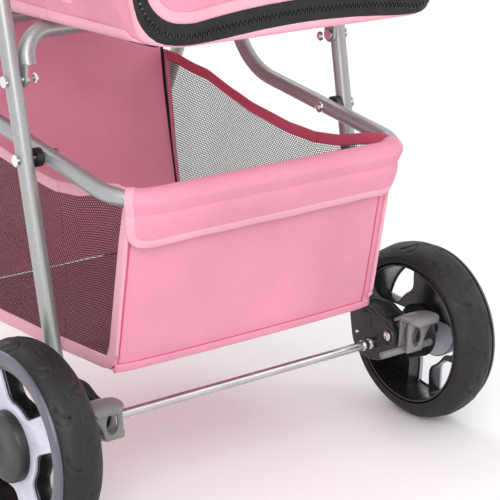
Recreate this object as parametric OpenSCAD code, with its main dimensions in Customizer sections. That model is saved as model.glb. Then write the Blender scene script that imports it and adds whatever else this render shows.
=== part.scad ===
// Pet stroller. +X is the pet's right-hand side, +Y is the way it rolls, +Z is up.
// Lengths are in millimetres. Inside the modules, y = 0 is the rear axle line.

/* [Wheels] */
// Radius of the rear wheels
rear_r = 95; // [90:0.5:98]
// Width of the rear tyres
rear_w = 47.4; // [42:0.2:48]
// Distance from the middle plane to the middle of a rear wheel
rear_x = 238.3; // [236:0.1:242]
// Radius of the front wheels
front_r = 75; // [70:0.5:76]
// Width of the front tyres
front_w = 34; // [30:0.5:36]
// Thickness of the rear axle rod
axle_d = 9; // [8:0.5:9]
// Distance that a front wheel trails behind its swivel axis
trail = 25; // [20:1:26]

/* [Frame tubes] */
// Outside diameter of the frame tubes
tube_d = 16; // [15.8:0.1:16]
// Wall thickness of the frame tubes
tube_wall = 1.2; // [1:0.1:1.6]
// Height of the folding hub
hub_z = 650; // [649:0.5:651]
// Forward lean of the rear legs, y per z
leg_lean = 0.191; // [0.188:0.001:0.194]
// Outward splay of the rear legs, x per z
leg_splay = 0.01664; // [0.016:0.0002:0.017]
// Distance from the folding hub to the middle of the handle bar
handle_len = 475; // [470:1:485]
// Outside diameter of the foam grip
grip_d = 32; // [28:1:34]

/* [Cabin] */
// Half the width of the cabin
cabin_hw = 156.5; // [150:0.5:157]
// Height of the underside of the cabin
cabin_z = 461; // [461:0.5:463]
// Radius of the rounded top of the cabin about the folding hub
cabin_r = 235; // [230:1:235]
// Thickness of the fabric walls
cloth = 3; // [2:0.5:3]

/* [Hidden] */
$fn = 64;

tube_r = tube_d / 2;
fit = 0.05;                                   // radial clearance of pins and sockets
gap = 0.3;                                    // clearance between neighbouring pieces

// rear legs: the middle line passes (leg_x, leg_y) at the height of the axle
leg_x = 186.7;
leg_y = 29.2;
function leg_at(z) = [leg_x + leg_splay * (z - rear_r), leg_y + leg_lean * (z - rear_r), z];
hub = [0, leg_at(hub_z)[1], hub_z];           // folding axis, along X

// front legs, in planes x = +-front_leg_x
front_leg_x = 193;
front_bend = [330, 440];                      // y, z where a front leg turns down
caster_y = 485;
socket_top = 212;                             // top of the caster socket
front_foot = [459, 182];                      // y, z of a front leg's lower end
leg_dir = [front_bend[0] - hub[1], front_bend[1] - hub[2]]
          / norm([front_bend[0] - hub[1], front_bend[1] - hub[2]]);
function along_front_leg(t) = [hub[1] + leg_dir[0] * t, hub[2] + leg_dir[1] * t];
sleeve_from = 46;                             // hub sleeve, measured down the front leg
sleeve_to = 60;

// basket tube: arms in planes x = +-arm_x, pivoted on the rear legs
arm_x = 166.7;
pivot_z = 333.7;                              // rivets between rear legs and basket tube
basket_pivot = [leg_at(pivot_z)[1], pivot_z];
arm_slope = 0.155;
rail_y = -50;
arm_bend = [231, basket_pivot[1] + arm_slope * (231 - basket_pivot[0])];
rail_z = basket_pivot[1] + arm_slope * (rail_y - basket_pivot[0]);
link_t = 154.1;                               // link pivot, measured down the front leg
link = along_front_leg(link_t);

// rear cross tube under the cabin
cross_z = 404.3;                              // rivets on the rear legs
cross_top = 446.5;
cross_x = leg_at(cross_z)[0] - 2 * tube_r;

// handle, in planes x = +-handle_x
handle_x = 219;
handle_dir = [0, -sin(45), cos(45)];
hub_pin_r = 4;
rivet_r = 3;

// brake
brake_pivot = [-21.9, 108.9];
bracket_in = 172;                             // inner and outer faces of the leg brackets
bracket_out = 204;

// origin: middle of the floor area that the whole stroller covers
front_end = caster_y - trail + front_r;
rear_end = hub[1] - handle_len * sin(45) - grip_d / 2;
mid_y = (front_end + rear_end) / 2;

PAINT = "#9aa3a3";
BLACK = "#1c1c1f";
PINK = "#ea93ae";
SILVER = "#c9c9d6";
STEEL = "#b8bcc2";
GREY = "#8b8d90";

// ---------------------------------------------------------------- helpers

module placed() { translate([0, -mid_y, 0]) children(); }
module side(s) { if (s < 0) mirror([1, 0, 0]) children(); else children(); }
module both() { children(); mirror([1, 0, 0]) children(); }

// a child standing along Z, turned to run from a towards b
module aim(a, b) {
    w = (b - a) / norm(b - a);
    u = abs(w[0]) > 0.9 ? [0, 1, 0] : cross([1, 0, 0], w) / norm(cross([1, 0, 0], w));
    v = cross(w, u);
    multmatrix([[u[0], v[0], w[0], a[0]], [u[1], v[1], w[1], a[1]], [u[2], v[2], w[2], a[2]]])
        children();
}
module rod(a, b, r) { aim(a, b) cylinder(h = norm(b - a), r = r); }
module pipe(a, b, r, r_in) {
    aim(a, b) difference() {
        cylinder(h = norm(b - a), r = r);
        translate([0, 0, -1]) cylinder(h = norm(b - a) + 2, r = r_in);
    }
}
// length along X from x0 to x1, at a point [y, z]
module across(x0, x1, at, r) {
    translate([x0, at[0], at[1]]) rotate([0, 90, 0]) cylinder(h = x1 - x0, r = r);
}
// a pin's hole through both sides of the frame
module drilled(at, r) { across(-240, 240, at, r + fit); }
// an outline in the y-z plane, extruded along X from x0 to x1
module slab(x0, x1) {
    translate([x0, 0, 0]) rotate([90, 0, 90]) linear_extrude(x1 - x0) children();
}

// a tube along a polyline, with each corner rounded to its radius
function turn(p, i) = acos((p[i] - p[i - 1]) * (p[i + 1] - p[i])
                           / (norm(p[i] - p[i - 1]) * norm(p[i + 1] - p[i])));
function cut(p, rs, i) = (i == 0 || i == len(p) - 1) ? 0 : rs[i - 1] * tan(turn(p, i) / 2);
module bent_tube(p, rs, r = tube_r, r_in = tube_r - tube_wall) {
    for (i = [0 : len(p) - 2]) {
        w = (p[i + 1] - p[i]) / norm(p[i + 1] - p[i]);
        pipe(p[i] + w * cut(p, rs, i), p[i + 1] - w * cut(p, rs, i + 1), r, r_in);
    }
    // each bend reaches a little way into the straight stretches, inside their walls
    for (i = [1 : len(p) - 2]) {
        u = (p[i] - p[i - 1]) / norm(p[i] - p[i - 1]);
        w = (p[i + 1] - p[i]) / norm(p[i + 1] - p[i]);
        n = (w - u * (w * u)) / norm(w - u * (w * u));
        a = cross(-n, u);
        c = p[i] - u * cut(p, rs, i) + n * rs[i - 1];
        into = 0.6 / rs[i - 1] * 180 / PI;
        multmatrix([[-n[0], u[0], a[0], c[0]], [-n[1], u[1], a[1], c[1]], [-n[2], u[2], a[2], c[2]]])
            rotate([0, 0, -into]) rotate_extrude(angle = turn(p, i) + 2 * into)
                translate([rs[i - 1], 0]) difference() { circle(r - 0.03); circle(r_in + 0.03); }
    }
}

// ---------------------------------------------------------------- wheels, axis along X

// crowned tyre: an arched tread over a flat seat
module tyre(r, w, x) {
    hw = w / 2;
    drop = 0.135 * r;
    crown = [for (k = [-8 : 8]) [r - drop * pow(abs(k) / 8, 2.6), hw * k / 8]];
    translate([x, 0, 0]) rotate([0, 90, 0])
        rotate_extrude() polygon(concat([[0.8 * r, -hw + 3], [r - drop - 2, -hw]], crown,
                                        [[r - drop - 2, hw], [0.8 * r, hw - 3]]));
}
// black rim: barrel, hub and four wide spokes; first is the angle of a spoke
module rim(r, w, x, bore, first, hub_len) {
    hw = w / 2 - 4;
    translate([x, 0, 0]) rotate([0, 90, 0]) difference() {
        union() {
            rotate_extrude() translate([0.71 * r, -hw]) square([0.09 * r - gap, 2 * hw]);
            translate([0, 0, -hub_len / 2]) cylinder(h = hub_len, r = 0.25 * r);
            difference() {
                translate([0, 0, -0.28 * w]) cylinder(h = 0.6 * w, r = 0.73 * r);
                for (k = [0 : 3])
                    rotate([0, 0, first + 17 + 90 * k])
                        translate([0, 0, -w]) rotate_extrude(angle = 56)
                            translate([0.38 * r, 0]) square([0.33 * r, 2 * w]);
            }
        }
        translate([0, 0, -w]) cylinder(h = 2 * w, r = bore);
    }
}
// silver star on the outer face: a ring, a middle and four arms
module cover(r, w, x, first) {
    out = w / 2 - 4;
    translate([x + out, 0, 0]) rotate([0, 90, 0]) {
        difference() {
            translate([0, 0, 0.2]) cylinder(h = 3, r = 0.785 * r);
            translate([0, 0, -1]) cylinder(h = 6, r = 0.3 * r);
            for (k = [0 : 3])
                rotate([0, 0, first + 14 + 90 * k])
                    translate([0, 0, -1]) rotate_extrude(angle = 62)
                        translate([0.5 * r, 0]) square([0.21 * r, 6]);
        }
    }
}
module cap(r, w, x) {
    translate([x + w / 2 - 4, 0, 0]) rotate([0, 90, 0]) {
        translate([0, 0, 0.2]) cylinder(h = 7, r = 0.3 * r - gap);
        translate([0, 0, 7.2]) cylinder(h = 5, r1 = 0.3 * r - gap, r2 = 0.2 * r);
    }
}
rear_first_left = 62.5;
rear_first_right = 2;
module at_rear_wheel() { translate([0, 0, rear_r]) children(); }
module at_front_wheel() { translate([front_leg_x, caster_y - trail, front_r]) children(); }

module rear_tyre(s) { color(BLACK) side(s) at_rear_wheel() tyre(rear_r, rear_w, rear_x); }
module rear_rim(s, first) {
    color(BLACK) side(s) at_rear_wheel()
        rim(rear_r, rear_w, rear_x, axle_d / 2 + fit, first + 90, 39);
}
module rear_cover(s, first) {
    color(SILVER) side(s) at_rear_wheel() cover(rear_r, rear_w, rear_x, first + 90);
}
module rear_cap(s) { color(BLACK) side(s) at_rear_wheel() cap(rear_r, rear_w, rear_x); }
module front_tyre(s) { color(BLACK) side(s) at_front_wheel() tyre(front_r, front_w, 0); }
module front_rim(s) {
    color(BLACK) side(s) at_front_wheel() rim(front_r, front_w, 0, 4 + fit, 45, 36);
}
module front_cover(s) { color(SILVER) side(s) at_front_wheel() cover(front_r, front_w, 0, 45); }

// ---------------------------------------------------------------- chassis

module front_leg(s) {
    top = along_front_leg(sleeve_from);
    color(PAINT) side(s)
        bent_tube([[front_leg_x, top[0], top[1]], [front_leg_x, front_bend[0], front_bend[1]],
                   [front_leg_x, front_foot[0], front_foot[1]]], [80]);
}
module front_cross_tube() {
    foot = [front_leg_x, front_foot[0], front_foot[1]];
    bend = [front_leg_x, front_bend[0], front_bend[1]];
    down = (foot - bend) / norm(foot - bend);
    at = [bend[1] + down[1] * 30, bend[2] + down[2] * 30];
    color(PAINT) difference() {
        across(-front_leg_x + 4, front_leg_x - 4, at, tube_r);
        across(-front_leg_x, front_leg_x, at, tube_r - tube_wall);
        both() rod(bend + down * 14, foot, tube_r + 0.02);
    }
}
module caster_socket(s) {
    foot = [front_leg_x, front_foot[0], front_foot[1]];
    bend = [front_leg_x, front_bend[0], front_bend[1]];
    up = (bend - foot) / norm(bend - foot);
    color(BLACK) side(s) difference() {
        union() {
            translate([front_leg_x, caster_y, 168]) cylinder(h = socket_top - 168, r = 15);
            rod(foot - up * 6, foot + up * 48, 11.5);
            translate([front_leg_x - 8, front_foot[0], 170]) cube([16, caster_y - front_foot[0], 26]);
        }
        rod(foot, foot + up * 60, tube_r + fit);
        translate([front_leg_x, caster_y, 160]) cylinder(h = 40, r = 5 + fit);
    }
}
cheek_in = 177.5;
cheek_out = 209.7;
module hub_housing(s) {
    wide = 12.5;
    n = [-leg_dir[1], leg_dir[0]];
    end = along_front_leg(sleeve_to);
    start = along_front_leg(sleeve_from);
    mid = [hub[1], hub[2]];
    color(BLACK) side(s) difference() {
        union() {
            for (x = [[cheek_in, 187.2], [204.6, cheek_out]]) {
                across(x[0], x[1], mid, 22);
                slab(x[0], x[1]) polygon([mid + n * 20, end + n * wide, end - n * wide, mid - n * 20]);
            }
            slab(cheek_in, cheek_out)
                polygon([start + n * wide, end + n * wide, end - n * wide, start - n * wide]);
        }
        drilled(mid, hub_pin_r);
        rod([front_leg_x, start[0], start[1]] - [0, leg_dir[0], leg_dir[1]],
            [front_leg_x, end[0], end[1]] + [0, leg_dir[0], leg_dir[1]], tube_r + fit);
    }
}
module hub_pins() {
    mid = [hub[1], hub[2]];
    color(STEEL) both() {
        across(164, 231, mid, hub_pin_r);
        across(162, 164, mid, 7);
        across(229, 232, mid, 8);
    }
}

// cabin: straight walls, a round top about the folding hub and a sloping front
front_top = 50;                               // angle where the round top ends
brow = [hub[1] + cabin_r * cos(front_top), hub[2] + cabin_r * sin(front_top)];
cabin_rear = hub[1] - cabin_r;
chin = [448, 612];
toe = [455, 490];
function roof(r, a0, a1, n) = [for (k = [0 : n])
    [hub[1] + r * cos(a0 + (a1 - a0) * k / n), hub[2] + r * sin(a0 + (a1 - a0) * k / n)]];
module cabin_outline(d) {
    polygon(concat([[cabin_rear + d, cabin_z + d], [425 - d * 0.5, cabin_z + d], [toe[0] - d, toe[1]],
                    [chin[0] - d, chin[1] - d * 0.3]],
                   roof(cabin_r - d, front_top, 180, 16)));
}
door_top = 648;
door_low = cabin_z + 12;
door_hw = 132;
front_dir = (brow - chin) / norm(brow - chin);
front_norm = [front_dir[1], -front_dir[0]];
front_lo = chin + front_dir * 14;
front_hi = brow - front_dir * 14;
front_door_hw = 128;
module front_window(hw, grow, d0, d1) {
    a = front_lo - front_dir * grow;
    b = front_hi + front_dir * grow;
    slab(-hw - grow, hw + grow)
        polygon([a + front_norm * d0, b + front_norm * d0, b + front_norm * d1, a + front_norm * d1]);
}
module cabin_shell() {
    color(PINK) difference() {
        slab(-cabin_hw, cabin_hw) cabin_outline(0);
        slab(-cabin_hw + cloth, cabin_hw - cloth) cabin_outline(cloth);
        translate([-door_hw - gap, cabin_rear - 5, door_low - gap])
            cube([2 * (door_hw + gap), 10, door_top - door_low + 2 * gap]);
        front_window(front_door_hw, gap, -12, 12);
    }
}
module cabin_floor_board() {
    color(PINK) translate([-cabin_hw + cloth + 2, cabin_rear + cloth + 4, cabin_z + cloth + 0.3])
        cube([2 * (cabin_hw - cloth - 2), 505, 8]);
}
module rear_door() {
    color(PINK) translate([-door_hw, cabin_rear, door_low])
        cube([2 * door_hw, cloth, door_top - door_low]);
}
module front_door() { color(BLACK) front_window(front_door_hw, 0, -cloth - 1, -1); }

// ---------------------------------------------------------------- canopy

canopy_from = 53;
canopy_to = 122;
module canopy_bow() {
    r = cabin_r + 7;
    x = 168;
    d = [0, cos(canopy_from), sin(canopy_from)];
    color(STEEL) difference() {
        union() {
            bent_tube([[x, hub[1], hub[2]] + d * 6, [x, hub[1], hub[2]] + d * r,
                       [-x, hub[1], hub[2]] + d * r, [-x, hub[1], hub[2]] + d * 6],
                      [12, 12], 3, 1.5);
            both() across(x - 2.5, x + 2.5, [hub[1], hub[2]], 9);
        }
        drilled([hub[1], hub[2]], hub_pin_r);
    }
}
module canopy_fabric() {
    r0 = cabin_r + 0.6;
    r1 = r0 + cloth;
    wing = 150;
    color(PINK) translate([0, hub[1], hub[2]]) rotate([90, 0, 90]) rotate([0, 0, canopy_from + 2]) {
        translate([0, 0, -cabin_hw - 4]) rotate_extrude(angle = canopy_to - canopy_from)
            translate([r0, 0]) square([cloth, 2 * cabin_hw + 8]);
        for (z = [-cabin_hw - 4, cabin_hw + 0.6])
            translate([0, 0, z]) rotate_extrude(angle = canopy_to - canopy_from)
                translate([wing, 0]) square([r1 - wing, 3.4]);
    }
}

// ---------------------------------------------------------------- rear frame

module rear_leg(s) {
    low = leg_at(84);
    high = leg_at(hub_z + 14);
    color(PAINT) side(s) difference() {
        pipe(low, high, tube_r, tube_r - tube_wall);
        drilled([hub[1], hub[2]], hub_pin_r);
        drilled(basket_pivot, rivet_r);
        drilled([leg_at(cross_z)[1], cross_z], rivet_r);
    }
}
module leg_bracket(s) {
    low = leg_at(83.9);
    color(BLACK) side(s) difference() {
        union() {
            slab(bracket_in, bracket_out) polygon([[39, 122], [36, 131], [8, 134], [-8, 125], [-20, 123],
                [-20, 84], [-8, 78], [6, 75], [24, 76], [34, 88]]);
            across(bracket_in, bracket_out, brake_pivot, 14);
        }
        rod(low, leg_at(200), tube_r + fit);
        across(bracket_in - 1, bracket_out + 1, [0, rear_r], axle_d / 2 + fit);
        drilled(brake_pivot, rivet_r);
        translate([180.5, -50, 80]) cube([17, 40, 70]);
    }
}
module rear_axle() {
    color(STEEL) {
        across(-256, 256, [0, rear_r], axle_d / 2);
        both() across(bracket_out + 1, bracket_out + 9, [0, rear_r], 8);
    }
}
module rear_cross_tube() {
    y = leg_at(cross_z)[1] + 8;
    low = [cross_x, leg_at(cross_z)[1], cross_z + 12];
    color(PAINT) difference() {
        union() {
            bent_tube([low, [cross_x, y, cross_top], [-cross_x, y, cross_top],
                       [-cross_x, low[1], low[2]]], [26, 26]);
            both() {
                translate([cross_x + 4.3, low[1] - 7.5, cross_z]) cube([3, 15, 15]);
                across(cross_x + 4.3, cross_x + 7.3, [low[1], cross_z], 7.5);
            }
        }
        drilled([leg_at(cross_z)[1], cross_z], rivet_r);
    }
}
module basket_spacers() {
    color(BLACK) both() difference() {
        across(arm_x + tube_r + gap, leg_at(pivot_z)[0] - tube_r - 0.6, basket_pivot, 9);
        drilled(basket_pivot, rivet_r);
    }
}
module frame_rivets() {
    cross_at = [leg_at(cross_z)[1], cross_z];
    leg_out = tube_r + 0.4;
    color(STEEL) both() {
        across(arm_x - tube_r - 0.5, leg_at(pivot_z)[0] + leg_out, basket_pivot, rivet_r);
        across(arm_x - tube_r - 2.2, arm_x - tube_r - 0.4, basket_pivot, 5.5);
        across(leg_at(pivot_z)[0] + leg_out - 0.1, leg_at(pivot_z)[0] + leg_out + 2.2, basket_pivot, 5.5);
        across(cross_x + 3, leg_at(cross_z)[0] + leg_out, cross_at, rivet_r);
        across(cross_x + 2, cross_x + 4, cross_at, 5.5);
        across(leg_at(cross_z)[0] + leg_out - 0.1, leg_at(cross_z)[0] + leg_out + 2.2, cross_at, 5.5);
    }
}
module brake_pins() {
    color(STEEL) both() {
        across(bracket_in - 2, bracket_out + 2, brake_pivot, rivet_r);
        across(bracket_in - 2, bracket_in - 0.1, brake_pivot, 5);
    }
}
module brake_lever(s) {
    color(GREY) side(s) difference() {
        union() {
            across(180.8, 197.2, brake_pivot, 10);
            slab(181, 197) polygon([[-22, 101], [-16, 117], [-30, 129], [-62, 136], [-60, 130], [-44, 122],
                [-34, 104]]);
            slab(178, 212) polygon([[-27, 126.5], [-40, 134.5], [-62, 141], [-74, 138], [-74, 134],
                [-61, 136], [-41, 129.5], [-29, 122]]);
            slab(186, 207) polygon([[-41, 100], [-40, 131], [-46, 133], [-49, 100]]);
            across(144, 212, [-45, 100], 3.6);
        }
        drilled(brake_pivot, rivet_r);
        translate([196.5, -30, 110]) rotate([90, 0, 0]) cylinder(h = 30, r = 6);
    }
}

// ---------------------------------------------------------------- basket

module basket_tube() {
    top = [arm_x, link[0], link[1] + 10];
    color(PAINT) difference() {
        bent_tube([top, [arm_x, arm_bend[0], arm_bend[1]], [arm_x, rail_y, rail_z],
                   [-arm_x, rail_y, rail_z], [-arm_x, arm_bend[0], arm_bend[1]],
                   [-top[0], top[1], top[2]]], [79, 38, 38, 79]);
        drilled(basket_pivot, rivet_r);
    }
}
basket_hw = 154;
// upper edge of a side panel: it dips between the rail and the front panel
function side_edge(y) = 309 + 41 * pow((y - 75) / 270, 2) + (y < 0 ? 4 : 0);
module basket_fabric() {
    low_rear = [-12, 150];
    low_front = [318, 133];
    rear_top = [-41, 303];
    front_top_at = [366, 458];
    color(PINK) {
        slab(-basket_hw, basket_hw)
            polygon([low_rear, rear_top, rear_top + [cloth, 0], low_rear + [cloth, cloth],
                     low_front + [-cloth, cloth], front_top_at - [cloth, 0], front_top_at, low_front]);
        both() slab(basket_hw - 2, basket_hw)
            polygon(concat([low_rear + [1, 1], rear_top + [1, 0]],
                           [for (y = [-24 : 37 : 346]) [y, side_edge(y)]], [low_front + [-1, 1]]));
        difference() {
            union() {
                across(-basket_hw + 28, basket_hw - 28, [rail_y, rail_z], tube_r + gap + 2.2);
                slab(-basket_hw + 28, basket_hw - 28)
                    polygon([rear_top - [0.5, 3], rear_top + [-3.5, 5], rear_top + [0, 5],
                             rear_top + [cloth, -3]]);
                slab(-basket_hw + 28, basket_hw - 28)
                    polygon([[-46, 303], [-56, 306], [-60, 306], [-46, 271], [-43, 271]]);
            }
            across(-basket_hw, basket_hw, [rail_y, rail_z], tube_r + gap);
        }
    }
}
module link_collars() {
    a = along_front_leg(link_t - 8);
    b = along_front_leg(link_t + 8);
    color(BLACK) both() difference() {
        union() {
            rod([front_leg_x, a[0], a[1]], [front_leg_x, b[0], b[1]], 13);
            across(arm_x + tube_r + gap, front_leg_x - 9, link, 6.5);
        }
        rod([front_leg_x, a[0], a[1]] - [0, leg_dir[0], leg_dir[1]] * 5,
            [front_leg_x, b[0], b[1]] + [0, leg_dir[0], leg_dir[1]] * 5, tube_r + 0.08);
    }
}

// ---------------------------------------------------------------- handle

handle_hub = [handle_x, hub[1], hub[2]];
module handle_tube() {
    far_end = handle_hub + handle_dir * handle_len;
    color(PAINT)
        bent_tube([handle_hub + handle_dir * 26, far_end, [-far_end[0], far_end[1], far_end[2]],
                   [-handle_x, hub[1], hub[2]] + handle_dir * 26], [48, 48]);
}
module handle_grip() {
    at = [hub[1] + handle_dir[1] * handle_len, hub[2] + handle_dir[2] * handle_len];
    color(BLACK) difference() {
        across(-150, 150, at, grip_d / 2);
        across(-151, 151, at, tube_r + fit);
    }
}
module handle_socket(s) {
    color(BLACK) side(s) difference() {
        union() {
            across(210, 228, [hub[1], hub[2]], 23);
            rod(handle_hub, handle_hub + handle_dir * 72, 12);
        }
        drilled([hub[1], hub[2]], hub_pin_r);
        // room for the hub housing on the inside and the pin's head on the outside
        for (x = [[200, 210], [228, 240]]) across(x[0], x[1], [hub[1], hub[2]], 25.5);
        rod(handle_hub + handle_dir * 25.9, handle_hub + handle_dir * 80, tube_r + fit);
    }
}
module latch_collar(s) {
    color(GREY) side(s) difference() {
        union() {
            rod(handle_hub + handle_dir * 73, handle_hub + handle_dir * 103, 12);
            rod(handle_hub + handle_dir * 84, handle_hub + handle_dir * 92, 15);
        }
        rod(handle_hub + handle_dir * 72, handle_hub + handle_dir * 104, tube_r + 0.08);
    }
}
tray_lo = [-184, -92];                        // y range of the tray
tray_z = 924;
module cup_tray() {
    d = tray_lo[1] - tray_lo[0];
    y = (tray_lo[0] + tray_lo[1]) / 2;
    arm_y = hub[1] - (tray_z - 14 - hub[2]);
    color(BLACK) difference() {
        union() {
            translate([-196, tray_lo[0] + 10, tray_z - 22]) cube([392, d - 20, 22]);
            both() translate([128, y, 872]) cylinder(h = tray_z - 872, r = 42);
            both() rod([handle_x, arm_y, tray_z - 14] - handle_dir * 12,
                       [handle_x, arm_y, tray_z - 14] + handle_dir * 12, 13);
            both() translate([190, arm_y - 10, tray_z - 22]) cube([20, 20, 16]);
        }
        translate([-76, tray_lo[0] + 16, tray_z - 18]) cube([152, d - 32, 20]);
        both() translate([128, y, 876]) cylinder(h = 60, r = 38);
        both() rod([handle_x, arm_y, tray_z - 14] - handle_dir * 20,
                   [handle_x, arm_y, tray_z - 14] + handle_dir * 20, tube_r + fit);
    }
}

// ---------------------------------------------------------------- casters

fork_in = front_w / 2 + 2.5;
module caster_fork(s) {
    axle = [caster_y - trail, front_r];
    color(BLACK) side(s) difference() {
        union() {
            translate([front_leg_x, caster_y, 160]) cylinder(h = 36, r = 5);
            translate([front_leg_x, caster_y, 154]) cylinder(h = 13.7, r = 16);
            for (x = [front_leg_x - fork_in - 5, front_leg_x + fork_in]) {
                slab(x, x + 5) polygon([[472, 166], [500, 164], [503, 152], [axle[0] + 9, 71],
                    [axle[0] - 9, 79]]);
                across(x, x + 5, axle, 9.5);
            }
            slab(front_leg_x - fork_in - 1, front_leg_x + fork_in + 1)
                polygon([[472, 166], [500, 164], [503, 154], [470, 154]]);
        }
        drilled(axle, 4);
    }
}
module front_axle(s) {
    axle = [caster_y - trail, front_r];
    color(STEEL) side(s) {
        across(front_leg_x - fork_in - 7, front_leg_x + fork_in + 7, axle, 4);
        across(front_leg_x - fork_in - 9, front_leg_x - fork_in - 5.2, axle, 7);
        across(front_leg_x + fork_in + 5.2, front_leg_x + fork_in + 9, axle, 7);
    }
}

placed() front_leg(-1);  // front_leg_left
placed() front_leg(1);  // front_leg_right
placed() front_cross_tube();
placed() caster_socket(-1);  // caster_socket_left
placed() caster_socket(1);  // caster_socket_right
placed() hub_housing(-1);  // hub_housing_left
placed() hub_housing(1);  // hub_housing_right
placed() hub_pins();
placed() cabin_shell();
placed() cabin_floor_board();
placed() rear_leg(-1);  // rear_leg_left
placed() rear_leg(1);  // rear_leg_right
placed() leg_bracket(-1);  // leg_bracket_left
placed() leg_bracket(1);  // leg_bracket_right
placed() rear_axle();
placed() rear_cross_tube();
placed() basket_spacers();
placed() frame_rivets();
placed() brake_pins();
placed() rear_tyre(-1);  // rear_tyre_left
placed() rear_rim(-1, rear_first_left);  // rear_rim_left
placed() rear_cover(-1, rear_first_left);  // rear_cover_left
placed() rear_cap(-1);  // rear_cap_left
placed() rear_tyre(1);  // rear_tyre_right
placed() rear_rim(1, rear_first_right);  // rear_rim_right
placed() rear_cover(1, rear_first_right);  // rear_cover_right
placed() rear_cap(1);  // rear_cap_right
placed() brake_lever(-1);  // brake_lever_left
placed() brake_lever(1);  // brake_lever_right
placed() basket_tube();
placed() basket_fabric();
placed() link_collars();
placed() handle_tube();
placed() handle_grip();
placed() handle_socket(-1);  // handle_socket_left
placed() handle_socket(1);  // handle_socket_right
placed() cup_tray();
placed() latch_collar(-1);  // latch_collar_left
placed() latch_collar(1);  // latch_collar_right
placed() canopy_bow();
placed() canopy_fabric();
placed() rear_door();
placed() front_door();
placed() caster_fork(-1);  // caster_fork_left
placed() caster_fork(1);  // caster_fork_right
placed() front_axle(-1);  // front_axle_left
placed() front_axle(1);  // front_axle_right
placed() front_tyre(-1);  // front_tyre_left
placed() front_rim(-1);  // front_rim_left
placed() front_cover(-1);  // front_cover_left
placed() front_tyre(1);  // front_tyre_right
placed() front_rim(1);  // front_rim_right
placed() front_cover(1);  // front_cover_right
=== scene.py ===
"""Looks of the pet stroller. Lengths in the shape code are millimetres, measured from the rear axle line:
x to the right, y forward, z up from the floor. new_piece() turns them into metres in the frame."""
import math

import bmesh
import bpy
import numpy as np
from mathutils import Matrix, Vector


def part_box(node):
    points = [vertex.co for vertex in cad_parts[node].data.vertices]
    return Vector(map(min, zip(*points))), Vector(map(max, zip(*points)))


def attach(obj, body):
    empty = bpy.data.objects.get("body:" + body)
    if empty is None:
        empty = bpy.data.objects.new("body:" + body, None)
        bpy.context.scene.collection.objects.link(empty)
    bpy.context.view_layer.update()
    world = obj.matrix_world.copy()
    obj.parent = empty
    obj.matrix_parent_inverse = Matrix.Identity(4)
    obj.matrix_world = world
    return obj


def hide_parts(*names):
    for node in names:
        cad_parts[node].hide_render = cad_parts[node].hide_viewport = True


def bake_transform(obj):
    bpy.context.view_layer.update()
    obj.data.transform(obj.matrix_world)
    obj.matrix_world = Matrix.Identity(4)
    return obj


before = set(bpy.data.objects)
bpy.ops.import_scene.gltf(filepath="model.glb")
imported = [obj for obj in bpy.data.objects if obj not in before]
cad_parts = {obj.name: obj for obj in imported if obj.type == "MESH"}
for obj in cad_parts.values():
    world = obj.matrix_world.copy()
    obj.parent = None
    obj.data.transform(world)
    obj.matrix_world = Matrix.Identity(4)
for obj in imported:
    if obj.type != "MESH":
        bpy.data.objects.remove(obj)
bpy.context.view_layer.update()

MM = 0.001
AXLE_Y = sum(corner.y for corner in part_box("rear_axle")) / 2
UV = "cloth"

# ------------------------------------------------------------------ driving sizes

REAR_X, REAR_R, REAR_W = 238.3, 95.0, 47.4
FRONT_X, FRONT_Y, FRONT_R, FRONT_W = 193.0, 460.0, 75.0, 34.0
HUB = np.array([135.2, 650.0])
RAIL_Y, RAIL_Z, RAIL_R = -50.0, 314.4, 8.0
ARM_X, CORNER_R = 166.7, 38.0
PIVOT_Y = 74.8
BASKET_HW = 154.0
CABIN_HW, CABIN_R, CABIN_Z, CABIN_REAR = 158.0, 235.0, 457.0, -99.8
CHIN, TOE = (448.0, 612.0), (452.0, 490.0)
BROW_ANGLE = 50.0
FILLET, BOTTOM_FILLET = 34.0, 6.0
CANOPY_FROM, CANOPY_TO = 54.0, 123.0


def arc(cy, cz, r, a0, a1, n):
    """n + 1 points of a circle in the y-z plane, angles in degrees from +y towards +z."""
    t = np.radians(np.linspace(a0, a1, n + 1))
    return np.stack([cy + r * np.cos(t), cz + r * np.sin(t)], 1)


def unit(v):
    return v / np.maximum(np.linalg.norm(v, axis=-1, keepdims=True), 1e-9)


def running(points):
    """Distances along a line of points, from its start."""
    return np.concatenate([[0], np.cumsum(np.linalg.norm(np.diff(points, axis=0), axis=1))])


def span(out, a, b):
    """The x range from a to b on the side that out names, -1 or 1, lower end first."""
    return sorted((out * a, out * b))


def spline(points, n):
    """A smooth curve of n + 1 points through a few chosen ones."""
    p = np.array(points, float)
    p = np.vstack([2 * p[0] - p[1], p, 2 * p[-1] - p[-2]])
    out = []
    for t in np.linspace(0, len(p) - 3 - 1e-9, n + 1):
        i = int(t)
        f = t - i
        a, b, c, d = p[i:i + 4]
        out.append(0.5 * (2 * b + (c - a) * f + (2 * a - 5 * b + 4 * c - d) * f**2
                          + (3 * b - a - 3 * c + d) * f**3))
    return np.array(out)


# ------------------------------------------------------------------ mesh helpers


def new_piece(name, verts, faces, material, uv=None, sharp=None):
    """A mesh object from millimetres, smooth shaded, with its edges over sharp degrees kept sharp."""
    mesh = bpy.data.meshes.new(name)
    co = np.asarray(verts, float) * MM + np.array([0, AXLE_Y, 0])
    mesh.from_pydata(co.tolist(), [], faces)
    mesh.shade_smooth()
    if sharp:
        mesh.set_sharp_from_angle(angle=math.radians(sharp))
    if uv is not None:
        layer = mesh.uv_layers.new(name=UV)
        index = np.zeros(len(mesh.loops), int)
        mesh.loops.foreach_get("vertex_index", index)
        layer.data.foreach_set("uv", np.asarray(uv, float)[index].ravel())
    mesh.materials.append(material)
    obj = bpy.data.objects.new(name, mesh)
    bpy.context.scene.collection.objects.link(obj)
    return obj


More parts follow.
